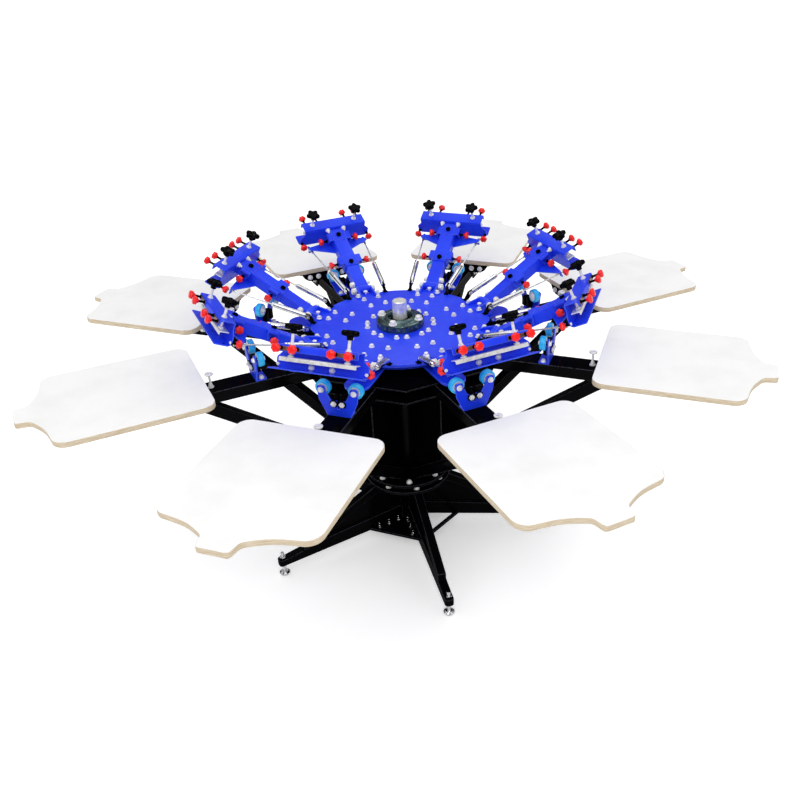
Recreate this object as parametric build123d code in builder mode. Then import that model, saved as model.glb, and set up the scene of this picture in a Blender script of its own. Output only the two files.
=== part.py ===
"""Eight-colour, eight-station carousel screen printing press on a five-legged stand.

Frame: millimetres, +Z up, origin on the floor under the carousel axis.
"u" is the distance from the axis along an arm, "v" the distance sideways from the arm.
In a print head's own frame X runs out along the head arm, Y sideways and Z away from its top face,
with the origin on the tilt hinge pin.
"""
from build123d import *
import os
from math import cos, hypot, radians, sin

os.makedirs("parts", exist_ok=True)

# ---- driving dimensions -------------------------------------------------------------------
STATIONS = 8
FIRST_STATION = 22.5
LEGS = 5
FIRST_LEG = -78.7
FIT = 0.05                      # radial running clearance of every turning fit
BODY_GAP = 0.3                  # clearance between faces of pieces that move apart

# print boards
BOARD_TOP = 840.0
BOARD_THICK = 18.0
BOARD_INNER, BOARD_OUTER = 700.0, 1247.0
BOARD_HALF = 225.0
INNER_ROUND = 40.0
SHOULDER_U, NECK_U = 1160.0, 1212.0
SHOULDER_ROUND = 45.0
NECK_HALF, NOSE_ROUND = 49.0, 12.0

# board carousel
ARM_W, ARM_H, TUBE_WALL = 80.0, 40.0, 3.0
ARM_TOP = 785.0
ARM_END = 1100.0
HUB_R, HUB_WALL = 50.0, 8.0
ARM_START = 56.0                # where the arms' walls begin outside the hub
SHAFT_R = 25.0
SEAT_LENGTH = 40.0              # bearing seat at each end of the hub
FLANGE_R, FLANGE_THICK = 160.0, 10.0
FLANGE_BOLT_CIRCLE, FLANGE_BOLTS, FLANGE_HOLE_R = 138.0, 8, 5.5
CAROUSEL_FLANGE_Z = 265.0
PLATE_APOTHEM, PLATE_THICK = 345.0, 5.0
PLATE_BOLT_CIRCLE, PLATE_HOLE_R = 313.0, 5.0
BRACE = 40.0
BRACE_ROOT = 53.0               # u of a knee brace's upright end
BRACE_START = (100.0, 315.0)    # u, z of a point on a knee brace's top edge
BRACE_SLOPE = 0.725
GUSSET_EDGE, GUSSET_THICK = 300.0, 4.0
LOCK_U = 676.0                  # wing bolt just inside the board

# registration gates
GATE_U, GATE_THICK = 531.0, 5.0
WHEEL_R, WHEEL_W = 24.0, 19.4
WHEEL_V, WHEEL_Z = 53.0, 870.0
WHEEL_HUB_R, AXLE_R = 15.0, 4.0
WHEEL_SPACER, AXLE_REACH = 4.5, 30.0
FORK_TIP_R = 13.0
FORK_BASE_TOP = 838.0
FORK_NOTCH, FORK_HALF = 24.0, 63.0                  # v of the notch and of the fork's widest part
STOP_V, STOP_BOLT_Z = 13.5, 829.0
STOP_TOP = 849.6                # just clear of a lowered head
GATE_FOOT = 32.0

# stand
STAND_FLANGE_TOP = 245.0
SOCKET_R, SOCKET_BOTTOM = 45.0, 38.0
LEG_W, LEG_FOOT_U = 32.0, 545.0
LEG_END_U, LEG_SHOULDER_U = 563.0, 529.0            # the level end of a leg round its stud
LEG_UNDER, LEG_TIP_H = 44.0, 26.0
STUD_HOLE_R = 6.3
LEG_KNEE, LEG_ROOT = (360.0, 92.0), (44.0, 102.0)   # u, z along a leg's top edge
WEB_THICK = 8.0
TIE_R, TIE_W, TIE_H = 195.0, 14.0, 10.0
OPEN_BAY = 0                    # the gap after the first leg has no gusset
SHAFT_TOP = 943.0

# print carousel
DISC_R, DISC_THICK, DISC_TOP = 311.0, 10.0, 853.0
TONGUE_TOP, TONGUE_THICK = 820.0, 8.0
TONGUE_START, TONGUE_END, TONGUE_W = 112.0, 430.0, 84.0
HUB_PLATE_R, HOUSING_R, HOUSING_BOTTOM = 250.0, 70.0, 793.0
COLLAR_R, COLLAR_H, COLLAR_BOLT_R, COLLAR_BOLT_ANGLE = 82.0, 27.0, 68.0, 67.0
DISC_BOLTS = ((116.0, 14.0), (197.0, 8.5), (263.0, 6.2))    # reach and angle either side of a head
DISC_BOLT, COLLAR_BOLT = (13.0, 8.0), (20.0, 11.0)          # width across flats and height of a head

# print heads
PIN_U, PIN_Z, PIN_R = 338.0, 862.0, 8.0
EAR_INNER, EAR_THICK, HINGE_FOOT_W = 24.5, 6.0, 16.0        # hinge ears beside a head
FOOT_BOLT_U, FOOT_BOLT_V = 292.0, 38.5
RAISED = 31.4                   # arm angle above level at rest
LOWERED = 6.0                   # arm angle when the head is down on its stop
HEAD_W, HEAD_TOP, HEAD_BOTTOM = 48.0, 6.0, -30.0
SLEEVE_W, SLEEVE_TOP, SLEEVE_START = 57.0, 10.0, 118.0
EAR_S, UPPER_SCREW_S, EAR_HALF = 146.0, 266.0, 46.0
SLEEVE_BOLTS = (132.0, 270.0)
WING_TIP = (263.0, 120.0)
ANCHOR_U, ANCHOR_Z, ANCHOR_V = 315.0, 877.0, 73.0
EYE_R = 3.0                     # pin through a lift spring's eye
ROD_END = (263.0, -43.0, 112.0)  # head frame: where a lift rod passes its wing

# screen clamp, in its own frame: origin on the outer top edge of the web
CLAMP_AT = (308.0, 20.0)        # X, Z of that edge in the head frame
CLAMP_TILT = -LOWERED           # the jaw is level when the head is down
CLAMP_W, JAW_W = 250.0, 288.0
SHEET = 3.0
TOP_DEPTH, JAW_DEPTH, WEB_H, LIP_H = 46.0, 52.0, 71.0, 20.0
BAR_L, BAR_W, BAR_X, BAR_Z = 235.0, 30.0, 7.0, -35.0
STUD_X, STUD_V, STUD_R = 25.0, 86.0, 4.0
STAR_R, STAR_Z = 26.0, 36.0
FRONT_V = (58.0, 108.0)
BACK_SCREW = (136.0, -59.0)     # Y and Z of the screw at each end of the web


# ---- placing ------------------------------------------------------------------------------
def stations():
    return [FIRST_STATION + k * 360 / STATIONS for k in range(STATIONS)]


def spin(angle):
    """Location turned about the carousel axis."""
    return Location((0, 0, 0), (0, 0, angle))


def head_place(angle):
    """Location of a raised head's own frame."""
    return spin(angle) * Location((PIN_U, 0, PIN_Z), (0, -RAISED, 0))


def clamp_place():
    """Location of the clamp's frame in the head frame."""
    return Location((CLAMP_AT[0], 0, CLAMP_AT[1]), (0, -CLAMP_TILT, 0))


def write(name, pieces, places=(Location(),)):
    """Write one node: every piece at every place, each a separate solid."""
    solids = []
    for place in places:
        for piece in pieces:
            solids += [solid.moved(place) for solid in piece.solids()]
    node = solids[0] if len(solids) == 1 else Compound(children=solids)
    node.label = name
    export_step(node, f"parts/{name}.step")


def all_round(count, first):
    return [spin(first + k * 360 / count) for k in range(count)]


def plate_on(plane, outline, thick, both=False):
    """A flat plate from an outline of points on a plane."""
    with BuildPart() as plate:
        with BuildSketch(plane):
            with BuildLine():
                Polyline(*outline, close=True)
            make_face()
        extrude(amount=thick, both=both)
    return plate.part


def rod(plane, radius, length):
    with BuildPart() as piece:
        with BuildSketch(plane):
            Circle(radius)
        extrude(amount=length)
    return piece.part


def hex_bar(plane, across, length):
    with BuildPart() as piece:
        with BuildSketch(plane):
            RegularPolygon(across / 2, 6, major_radius=False)
        extrude(amount=length)
    return piece.part


def bolt_head(x, y, z, size):
    """Hexagon head standing on a face at z."""
    across, height = size
    return hex_bar(Plane((x, y, z)), across, height)


SIDE = Plane.XZ                 # sketch X is u and sketch Y is z on this plane


# ---- stand --------------------------------------------------------------------------------
def stand_leg():
    """Tapered box beam, mitred to a narrow foot."""
    tip, end_round = LEG_UNDER + LEG_TIP_H, 12.0
    side = [(SOCKET_R - 1, LEG_UNDER), (LEG_END_U, LEG_UNDER), (LEG_END_U, tip), (LEG_SHOULDER_U, tip),
            LEG_KNEE, LEG_ROOT]
    with BuildPart() as leg:
        with BuildSketch(SIDE):
            with BuildLine():
                Polyline(*side, close=True)
            make_face()
        extrude(amount=LEG_W / 2, both=True)
        with BuildSketch(Plane.XY.offset(LEG_UNDER)):
            with Locations((LEG_FOOT_U, 0)):
                Circle(STUD_HOLE_R)
        extrude(amount=LEG_ROOT[1], mode=Mode.SUBTRACT)
        with BuildSketch(Plane.XY.offset(LEG_UNDER)):
            Circle(SOCKET_R)
        extrude(amount=LEG_ROOT[1], mode=Mode.SUBTRACT)
        fillet(leg.edges().filter_by(Axis.Z).group_by(Axis.X)[-1], end_round)
    return leg.part


def upright_bar(outline, width):
    """Bar of this side outline and width, trimmed to the socket."""
    with BuildPart() as bar:
        with BuildSketch(SIDE):
            with BuildLine():
                Polyline(*outline, close=True)
            make_face()
        extrude(amount=width / 2, both=True)
        with BuildSketch(Plane.XY):
            Circle(SOCKET_R)
        extrude(amount=STAND_FLANGE_TOP, mode=Mode.SUBTRACT)
    return bar.part


def stand_brace():
    """Sloping bar from under the flange down to the top of a leg, with a web plate below it."""
    top, rim = STAND_FLANGE_TOP - FLANGE_THICK, 152.0
    low_u, low_z, deep = 464.0, 104.0, 34.7
    slope = (top - low_z) / (low_u - rim)
    fall = (LEG_KNEE[1] - LEG_UNDER - LEG_TIP_H) / (LEG_SHOULDER_U - LEG_KNEE[0])
    heel_u = (top - deep + slope * rim - LEG_KNEE[1] - fall * LEG_KNEE[0]) / (slope - fall)
    heel = (heel_u, top - deep - slope * (heel_u - rim))
    end = (low_u, LEG_KNEE[1] - fall * (low_u - LEG_KNEE[0]))
    root = SOCKET_R - 1
    bar = upright_bar([(root, top), (rim, top), (low_u, low_z), end, heel, (rim, top - deep),
                       (root, top - deep)], LEG_W - 2)
    web = upright_bar([LEG_ROOT, LEG_KNEE, heel, (rim, top - deep), (root, top - deep)], WEB_THICK)
    return [bar, web]


def base_gusset():
    """Flat plate between two legs, inside the tie that joins them."""
    half_angle = radians(180 / LEGS)
    outer = TIE_R * cos(half_angle) - TIE_W / 2

    def beside(reach):
        """Point at this x on the face of the next leg."""
        along = (reach - LEG_W / 2 * sin(half_angle)) / cos(half_angle)
        return reach, along * sin(half_angle) - LEG_W / 2 * cos(half_angle)

    near, far = beside(SOCKET_R + 5), beside(outer)
    with BuildPart() as plate:
        with BuildSketch(Plane.XY.offset(LEG_UNDER + 2)):
            with BuildLine():
                Polyline(near, far, (far[0], -far[1]), (near[0], -near[1]), close=True)
            make_face()
        extrude(amount=GUSSET_THICK)
    return plate.part


def stand_tie():
    """Flat bar between two neighbouring legs."""
    half = TIE_R * sin(radians(180 / LEGS))
    middle = TIE_R * cos(radians(180 / LEGS))
    with BuildPart() as tie:
        with BuildSketch(Plane.XY.offset(LEG_UNDER)):
            with Locations((middle, 0)):
                Rectangle(TIE_W, 2 * half - LEG_W * 0.9)
        extrude(amount=TIE_H)
    return tie.part


def flange_ring(bottom, inner, bolt_angle):
    """Bolting flange welded round a tube."""
    with BuildPart() as ring:
        with BuildSketch(Plane.XY.offset(bottom)):
            Circle(FLANGE_R)
            Circle(inner, mode=Mode.SUBTRACT)
            with PolarLocations(FLANGE_BOLT_CIRCLE, FLANGE_BOLTS, bolt_angle):
                Circle(FLANGE_HOLE_R, mode=Mode.SUBTRACT)
        extrude(amount=FLANGE_THICK)
    return ring.part


def stand_socket():
    """Round socket that holds the shaft."""
    with BuildPart() as socket:
        with BuildSketch(Plane.XY.offset(SOCKET_BOTTOM)):
            Circle(SOCKET_R)
            Circle(SHAFT_R, mode=Mode.SUBTRACT)
        extrude(amount=STAND_FLANGE_TOP - SOCKET_BOTTOM)
    return socket.part


def levelling_foot():
    """Pad, stud and two nuts that take up an uneven floor."""
    pad_r, pad_h, stud_r, stud_top = 19.0, 12.0, 6.0, 96.0
    nut_across, nut_h = 19.0, 10.0
    with BuildPart() as foot:
        with BuildSketch(SIDE):
            with BuildLine():
                Polyline((0, 0), (pad_r - 2, 0), (pad_r, 3), (pad_r, pad_h - 4), (12, pad_h), (0, pad_h),
                         close=True)
            make_face()
        revolve(axis=Axis.Z)
        with BuildSketch(Plane.XY.offset(pad_h)):
            Circle(stud_r)
        extrude(amount=stud_top - pad_h)
        for seat in (LEG_UNDER - nut_h, LEG_UNDER + LEG_TIP_H):
            with BuildSketch(Plane.XY.offset(seat)):
                RegularPolygon(nut_across / 2, 6, major_radius=False)
            extrude(amount=nut_h)
    return foot.part


def shaft():
    """Fixed post that both carousels turn on."""
    top_edge = 3.0
    with BuildPart() as post:
        with BuildSketch(Plane.XY.offset(SOCKET_BOTTOM)):
            Circle(SHAFT_R)
        extrude(amount=SHAFT_TOP - SOCKET_BOTTOM)
        chamfer(post.faces().sort_by(Axis.Z)[-1].edges(), top_edge)
    return post.part


def thrust_ring(bottom, top):
    """Bearing race round the shaft between two flanges."""
    race_r = 58.0
    with BuildPart() as ring:
        with BuildSketch(Plane.XY.offset(bottom)):
            Circle(race_r)
            Circle(SHAFT_R, mode=Mode.SUBTRACT)
        extrude(amount=top - bottom)
    return ring.part


feet = [spin(FIRST_LEG + k * 360 / LEGS) * Location((LEG_FOOT_U, 0, 0)) for k in range(LEGS)]
legs_round = all_round(LEGS, FIRST_LEG)
ties_round = all_round(LEGS, FIRST_LEG + 180 / LEGS)
stand = [stand_socket(), flange_ring(STAND_FLANGE_TOP - FLANGE_THICK, SOCKET_R, 11)]
for piece in [stand_leg()] + stand_brace():
    stand += [piece.moved(place) for place in legs_round]
stand += [stand_tie().moved(place) for place in ties_round]
stand += [base_gusset().moved(place) for place in ties_round if place is not ties_round[OPEN_BAY]]
write("stand_frame", stand)
write("levelling_feet", [levelling_foot()], feet)
write("center_shaft", [shaft(), thrust_ring(STAND_FLANGE_TOP, CAROUSEL_FLANGE_Z - BODY_GAP)])


# ---- board carousel -----------------------------------------------------------------------
def carousel_hub():
    """Long bearing tube, relieved between its two bearing seats."""
    with BuildPart() as hub:
        with BuildSketch(Plane.XY.offset(CAROUSEL_FLANGE_Z)):
            Circle(HUB_R)
            Circle(SHAFT_R + FIT, mode=Mode.SUBTRACT)
        extrude(amount=ARM_TOP - CAROUSEL_FLANGE_Z)
        with BuildSketch(Plane.XY.offset(CAROUSEL_FLANGE_Z + SEAT_LENGTH)):
            Circle(HUB_R - HUB_WALL)
        extrude(amount=ARM_TOP - CAROUSEL_FLANGE_Z - 2 * SEAT_LENGTH, mode=Mode.SUBTRACT)
    return hub.part


def hub_plate(bottom):
    """Octagonal plate that ties the eight arms to the hub."""
    with BuildPart() as plate:
        with BuildSketch(Plane.XY.offset(bottom)):
            RegularPolygon(PLATE_APOTHEM, STATIONS, major_radius=False, rotation=0)
            Circle(HUB_R if bottom < ARM_TOP else SHAFT_R + FIT, mode=Mode.SUBTRACT)
            with PolarLocations(PLATE_BOLT_CIRCLE, STATIONS, FIRST_STATION):
                Circle(PLATE_HOLE_R, mode=Mode.SUBTRACT)
        extrude(amount=PLATE_THICK)
    return plate.part


def brace_top(u):
    return BRACE_START[1] + BRACE_SLOPE * (u - BRACE_START[0])


def knee_brace():
    """Square tube from the lower flange out to the arm, cut to fit both."""
    steep, past = hypot(1, BRACE_SLOPE), 20.0
    foot_z, arm_z = CAROUSEL_FLANGE_Z + FLANGE_THICK, ARM_TOP - ARM_H

    def top_u(z, drop=0.0):
        return BRACE_START[0] + (z + drop * steep - BRACE_START[1]) / BRACE_SLOPE

    outside = [(BRACE_ROOT, foot_z), (top_u(foot_z, BRACE), foot_z), (top_u(arm_z, BRACE), arm_z),
               (top_u(arm_z), arm_z), (BRACE_ROOT, brace_top(BRACE_ROOT))]
    wall, below, above = TUBE_WALL, foot_z - past, arm_z + past
    inside = [(top_u(below, wall), below), (top_u(below, BRACE - wall), below),
              (top_u(above, BRACE - wall), above), (top_u(above, wall), above)]
    with BuildPart() as brace:
        with BuildSketch(SIDE):
            with BuildLine():
                Polyline(*outside, close=True)
            make_face()
        extrude(amount=BRACE / 2, both=True)
        with BuildSketch(SIDE):
            with BuildLine():
                Polyline(*inside, close=True)
            make_face()
        extrude(amount=BRACE / 2 - wall, both=True, mode=Mode.SUBTRACT)
    return brace.part


def gusset():
    """Upright web between a knee brace and the lower hub plate."""
    top = ARM_TOP - ARM_H - PLATE_THICK
    outline = [(HUB_R, brace_top(BRACE_ROOT)), (BRACE_ROOT, brace_top(BRACE_ROOT)),
               (GUSSET_EDGE, brace_top(GUSSET_EDGE)), (GUSSET_EDGE, top), (HUB_R, top)]
    return plate_on(SIDE, outline, GUSSET_THICK / 2, both=True)


def board_arm():
    """Rectangular tube, open at the hub end, with a closed outer end."""
    with BuildPart() as arm:
        with BuildSketch(Plane.YZ.offset(ARM_START)):
            with Locations((0, ARM_TOP - ARM_H / 2)):
                Rectangle(ARM_W, ARM_H)
        extrude(amount=ARM_END - ARM_START)
        with BuildSketch(Plane.YZ.offset(ARM_START)):
            with Locations((0, ARM_TOP - ARM_H / 2)):
                Rectangle(ARM_W - 2 * TUBE_WALL, ARM_H - 2 * TUBE_WALL)
        extrude(amount=ARM_END - ARM_START - TUBE_WALL, mode=Mode.SUBTRACT)
        split_half = 90 - 180 / STATIONS
        for side in (1, -1):
            edge = Plane((0, 0, 0), x_dir=(0, 0, 1),
                         z_dir=(-cos(radians(split_half)), side * sin(radians(split_half)), 0))
            split(bisect_by=edge, keep=Keep.BOTTOM)
    return arm.part


def board_bracket():
    """Clamp saddle under a board: a top plate with cheeks down both sides of the arm."""
    top, cheek = BOARD_TOP - BOARD_THICK, 4.0
    plate_l, plate_w, corner = 150.0, 190.0, 18.0
    cheek_l, cheek_bottom, cheek_round = 110.0, ARM_TOP - ARM_H - 12, 16.0
    with BuildPart() as saddle:
        with BuildSketch(Plane.XY.offset(top - cheek)):
            RectangleRounded(plate_l, plate_w, corner)
        extrude(amount=cheek)
        with BuildSketch(Plane.XY.offset(cheek_bottom)):
            with Locations((0, (ARM_W + cheek) / 2), (0, -(ARM_W + cheek) / 2)):
                Rectangle(cheek_l, cheek)
        extrude(amount=top - cheek - cheek_bottom)
        fillet(saddle.edges().filter_by(Axis.Y).group_by(Axis.Z)[0], cheek_round)
    return saddle.part


def cross_member():
    """Bent plate across the arm that carries the board's inner end."""
    thick, half, corner = 4.0, 132.0, 12.0
    under, deep = BOARD_TOP - BOARD_THICK - thick, ARM_TOP
    middle_u, wide, web_u = 718.0, 32.0, 706.0
    shoulder, waist, flat = (122.0, under), (110.0, deep + 14), (62.0, deep)
    with BuildPart() as member:
        with BuildSketch(Plane.XY.offset(under)):
            with Locations((middle_u, 0)):
                RectangleRounded(wide, 2 * half, corner)
        extrude(amount=thick)
        with BuildSketch(Plane.YZ.offset(web_u)):
            with BuildLine():
                Line((-shoulder[0], under), shoulder)
                Spline(shoulder, waist, flat, tangents=((0, -1), (-1, 0)))
                Line(flat, (-flat[0], deep))
                Spline((-flat[0], deep), (-waist[0], waist[1]), (-shoulder[0], under),
                       tangents=((-1, 0), (0, 1)))
            make_face()
        extrude(amount=thick)
    return member.part


def board():
    """Print board: wide board with rounded inner corners and a necked outer end."""
    flank, hollow = (SHOULDER_U + 12, 118), (SHOULDER_U + 34, 70)
    neck, nose = (NECK_U, NECK_HALF + 2), (BOARD_OUTER - NOSE_ROUND, NECK_HALF - 2)
    with BuildPart() as plank:
        with BuildSketch(Plane.XY.offset(BOARD_TOP - BOARD_THICK)):
            with BuildLine():
                corner = (BOARD_INNER, BOARD_HALF - INNER_ROUND)
                Line((BOARD_INNER, 0), corner)
                inner = TangentArc(corner, (BOARD_INNER + INNER_ROUND, BOARD_HALF), tangent=(0, 1))
                side = Line(inner @ 1, (SHOULDER_U - SHOULDER_ROUND, BOARD_HALF))
                shoulder = TangentArc(side @ 1, (SHOULDER_U, BOARD_HALF - SHOULDER_ROUND), tangent=(1, 0))
                Spline(shoulder @ 1, flank, hollow, neck, tangents=((0.16, -1), (0.9, -0.3)))
                Line(neck, nose)
                tip = TangentArc(nose, (BOARD_OUTER, nose[1] - NOSE_ROUND - 1), tangent=(1, -0.1))
                Line(tip @ 1, (BOARD_OUTER, 0))
                mirror(about=Plane.XZ)
            make_face()
        extrude(amount=BOARD_THICK)
    return plank.part


def gate_base():
    """Lower part of the forked plate with its bolted foot."""
    foot_half = 38.0
    with BuildPart() as plate:
        with BuildSketch(Plane.YZ.offset(GATE_U)):
            with BuildLine():
                Polyline((-foot_half, ARM_TOP), (foot_half, ARM_TOP), (FORK_HALF, FORK_BASE_TOP),
                         (-FORK_HALF, FORK_BASE_TOP), close=True)
            make_face()
        extrude(amount=GATE_THICK)
        with BuildSketch(Plane.XY.offset(ARM_TOP)):
            with Locations((GATE_U - GATE_FOOT / 2, 0)):
                Rectangle(GATE_FOOT, 2 * foot_half)
        extrude(amount=GATE_THICK)
    return plate.part


def gate_tine(side):
    """One upright of the fork, with a round tip that carries a wheel."""
    outline = [(FORK_NOTCH, FORK_BASE_TOP), (FORK_HALF, FORK_BASE_TOP), (WHEEL_V + FORK_TIP_R, WHEEL_Z),
               (WHEEL_V - FORK_TIP_R, WHEEL_Z)]
    with BuildPart() as tine:
        with BuildSketch(Plane.YZ.offset(GATE_U)):
            with BuildLine():
                Polyline(*[(side * v, z) for v, z in outline], close=True)
            make_face()
            with Locations((side * WHEEL_V, WHEEL_Z)):
                Circle(FORK_TIP_R)
                Circle(AXLE_R, mode=Mode.SUBTRACT)
        extrude(amount=GATE_THICK)
    return tine.part


def gate_axle(side):
    """Shouldered bolt that a registration wheel turns on."""
    head_r, head_h, nut_across, nut_h = 7.0, 5.0, 13.0, 6.0

    def across(u):
        return Plane((u, side * WHEEL_V, WHEEL_Z), z_dir=(1, 0, 0))

    with BuildPart() as axle:
        with BuildSketch(across(GATE_U - AXLE_REACH)):
            Circle(AXLE_R)
        extrude(amount=AXLE_REACH + GATE_THICK)
        with BuildSketch(across(GATE_U - AXLE_REACH)):
            Circle(head_r)
        extrude(amount=head_h)
        with BuildSketch(across(GATE_U - WHEEL_SPACER)):
            Circle(head_r)
        extrude(amount=WHEEL_SPACER)
        with BuildSketch(across(GATE_U + GATE_THICK)):
            RegularPolygon(nut_across / 2, 6, major_radius=False)
        extrude(amount=nut_h)
    return axle.part


def stop_block(side):
    """Height stop behind the fork's notch, held by a bolt through the plate."""
    deep, bottom, near, far, bevel = 20.0, 810.0, 5.0, 22.0, (8.0, 10.0)
    nut_across, nut_h = 15.0, 8.0
    outline = [(side * v, z) for v, z in ((near, bottom), (far, bottom), (far, STOP_TOP - bevel[1]),
                                          (far - bevel[0], STOP_TOP), (near, STOP_TOP))]
    with BuildPart() as stop:
        with BuildSketch(Plane.YZ.offset(GATE_U - deep)):
            with BuildLine():
                Polyline(*outline, close=True)
            make_face()
        extrude(amount=deep)
    face = Plane((GATE_U + GATE_THICK, side * STOP_V, STOP_BOLT_Z), z_dir=(1, 0, 0))
    return [stop.part, hex_bar(face, nut_across, nut_h)]


def gate_wheel():
    """Rubber-tyred wheel on its hub, at the +v fork of the station on the X axis."""
    start, tyre_edge = GATE_U - WHEEL_SPACER - BODY_GAP - WHEEL_W, 2.5
    axis_plane = Plane((start, WHEEL_V, WHEEL_Z), z_dir=(1, 0, 0))
    with BuildPart() as tyre:
        with BuildSketch(axis_plane):
            Circle(WHEEL_R)
            Circle(WHEEL_HUB_R, mode=Mode.SUBTRACT)
        extrude(amount=WHEEL_W)
        chamfer(tyre.edges().filter_by(GeomType.CIRCLE).sort_by(SortBy.RADIUS)[-2:], tyre_edge)
    with BuildPart() as hub:
        with BuildSketch(axis_plane):
            Circle(WHEEL_HUB_R)
            Circle(AXLE_R + FIT, mode=Mode.SUBTRACT)
        extrude(amount=WHEEL_W)
    return [tyre.part, hub.part]


def lock_bolt():
    """Wing bolt through the arm just inside the board."""
    shank_r, shank_h, nut_across, nut_h = 5.0, 34.0, 16.0, 8.0
    wing_l, wing_w, wing_h, wing_at = 44.0, 16.0, 10.0, 28.0
    with BuildPart() as bolt:
        with BuildSketch(Plane.XY.offset(ARM_TOP)):
            with Locations((LOCK_U, 0)):
                Circle(shank_r)
        extrude(amount=shank_h)
        with BuildSketch(Plane.XY.offset(ARM_TOP)):
            with Locations((LOCK_U, 0)):
                RegularPolygon(nut_across / 2, 6, major_radius=False)
        extrude(amount=nut_h)
        with BuildSketch(Plane.XY.offset(ARM_TOP + wing_at)):
            with Locations((LOCK_U, 0)):
                SlotOverall(wing_l, wing_w, rotation=90)
        extrude(amount=wing_h)
    return bolt.part


hub = [carousel_hub(), flange_ring(CAROUSEL_FLANGE_Z, HUB_R, 0), hub_plate(ARM_TOP),
       hub_plate(ARM_TOP - ARM_H - PLATE_THICK)]
for place in all_round(STATIONS, FIRST_STATION):
    hub += [knee_brace().moved(place), gusset().moved(place)]
station_places = all_round(STATIONS, FIRST_STATION)
write("carousel_hub", hub)
write("board_arms", [board_arm()], station_places)
brackets = [board_bracket().moved(Location((u, 0, 0))) for u in (810.0, 1010.0)]
write("board_brackets", brackets + [cross_member(), lock_bolt()], station_places)
write("print_boards", [board()], station_places)
gate = [gate_base(), gate_tine(1), gate_tine(-1), gate_axle(1), gate_axle(-1)]
gate += stop_block(1) + stop_block(-1)
write("registration_gates", gate, station_places)
wheel = gate_wheel()
for k, angle in enumerate(stations(), 1):
    write(f"gate_{k}_wheel_left", wheel, [spin(angle)])
    write(f"gate_{k}_wheel_right", wheel, [spin(angle) * Location((0, -2 * WHEEL_V, 0))])


# ---- print carousel -----------------------------------------------------------------------
def print_disc():
    """Round top plate that carries the heads' hinges."""
    with BuildPart() as disc:
        with BuildSketch(Plane.XY.offset(DISC_TOP - DISC_THICK)):
            Circle(DISC_R)
            Circle(SHAFT_R + FIT, mode=Mode.SUBTRACT)
        extrude(amount=DISC_THICK)
    return disc.part


def hub_disc():
    """Round plate under the tongues."""
    with BuildPart() as plate:
        with BuildSketch(Plane.XY.offset(TONGUE_TOP - 2 * TONGUE_THICK)):
            Circle(HUB_PLATE_R)
            Circle(SHAFT_R + FIT, mode=Mode.SUBTRACT)
        extrude(amount=TONGUE_THICK)
    return plate.part


def tongue():
    """Round-ended bar that reaches out under a head."""
    straight = TONGUE_END - TONGUE_W / 2
    with BuildPart() as bar:
        with BuildSketch(Plane.XY.offset(TONGUE_TOP - TONGUE_THICK)):
            with Locations(((TONGUE_START + straight) / 2, 0)):
                Rectangle(straight - TONGUE_START, TONGUE_W)
            with Locations((straight, 0)):
                Circle(TONGUE_W / 2)
        extrude(amount=TONGUE_THICK)
    return bar.part


def bearing_housing(bottom, top, radius):
    with BuildPart() as housing:
        with BuildSketch(Plane.XY.offset(bottom)):
            Circle(radius)
            Circle(SHAFT_R + FIT, mode=Mode.SUBTRACT)
        extrude(amount=top - bottom)
    return housing.part


def hinge_cheek(side):
    """One ear of a head's hinge with its bolting foot on the disc."""
    back, front, rim, eye_r, foot_h = 280.0, 304.0, 310.2, 12.0, 4.0
    plane = SIDE.offset(-side * EAR_INNER)
    with BuildPart() as cheek:
        with BuildSketch(plane):
            with BuildLine():
                Polyline((back, DISC_TOP), (rim, DISC_TOP), (PIN_U, PIN_Z - eye_r),
                         (PIN_U, PIN_Z + eye_r), (back + 14, DISC_TOP + 12), (back, DISC_TOP + 5),
                         close=True)
            make_face()
            with Locations((PIN_U, PIN_Z)):
                Circle(eye_r)
                Circle(PIN_R, mode=Mode.SUBTRACT)
        extrude(amount=-side * EAR_THICK)
        with BuildSketch(Plane.XY.offset(DISC_TOP)):
            with Locations(((back + front) / 2, side * (EAR_INNER + EAR_THICK + HINGE_FOOT_W / 2))):
                Rectangle(front - back, HINGE_FOOT_W)
        extrude(amount=foot_h)
    return cheek.part


def hinge_pin():
    """Tilt pin through both ears, with a stack of nuts at each end."""
    half, nut, nut_across = EAR_INNER + EAR_THICK, 15.0, 21.0
    plane = Plane((PIN_U, -half - nut, PIN_Z), z_dir=(0, 1, 0))
    with BuildPart() as pin:
        with BuildSketch(plane):
            Circle(PIN_R)
        extrude(amount=2 * (half + nut))
        for start in (-half - nut, half):
            with BuildSketch(Plane((PIN_U, start, PIN_Z), z_dir=(0, 1, 0))):
                RegularPolygon(nut_across / 2, 6, major_radius=False)
            extrude(amount=nut)
    return pin.part


def spring_anchor(side):
    """Clevis on the disc's rim that holds a lift spring's eye."""
    v, back, front = side * ANCHOR_V, 280.0, 298.0
    eye_r, half, slot_half, slot_l, slot_h = 6.5, 8.0, 4.3, 28.0, 50.0
    with BuildPart() as anchor:
        with BuildSketch(SIDE.offset(-v)):
            with BuildLine():
                Polyline((back, DISC_TOP), (front, DISC_TOP), (ANCHOR_U + 2, ANCHOR_Z - 6),
                         (ANCHOR_U - 4, ANCHOR_Z + 5), (back + 6, DISC_TOP + 12), (back, DISC_TOP + 6),
                         close=True)
            make_face()
            with Locations((ANCHOR_U, ANCHOR_Z)):
                Circle(eye_r)
        extrude(amount=half, both=True)
        with BuildSketch(SIDE.offset(-v)):
            with Locations((ANCHOR_U + 1, ANCHOR_Z)):
                Rectangle(slot_l, slot_h)
        extrude(amount=slot_half, both=True, mode=Mode.SUBTRACT)
    pin = rod(Plane((ANCHOR_U, v - slot_half, ANCHOR_Z), z_dir=(0, 1, 0)), EYE_R, 2 * slot_half)
    return [anchor.part, pin]


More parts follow.
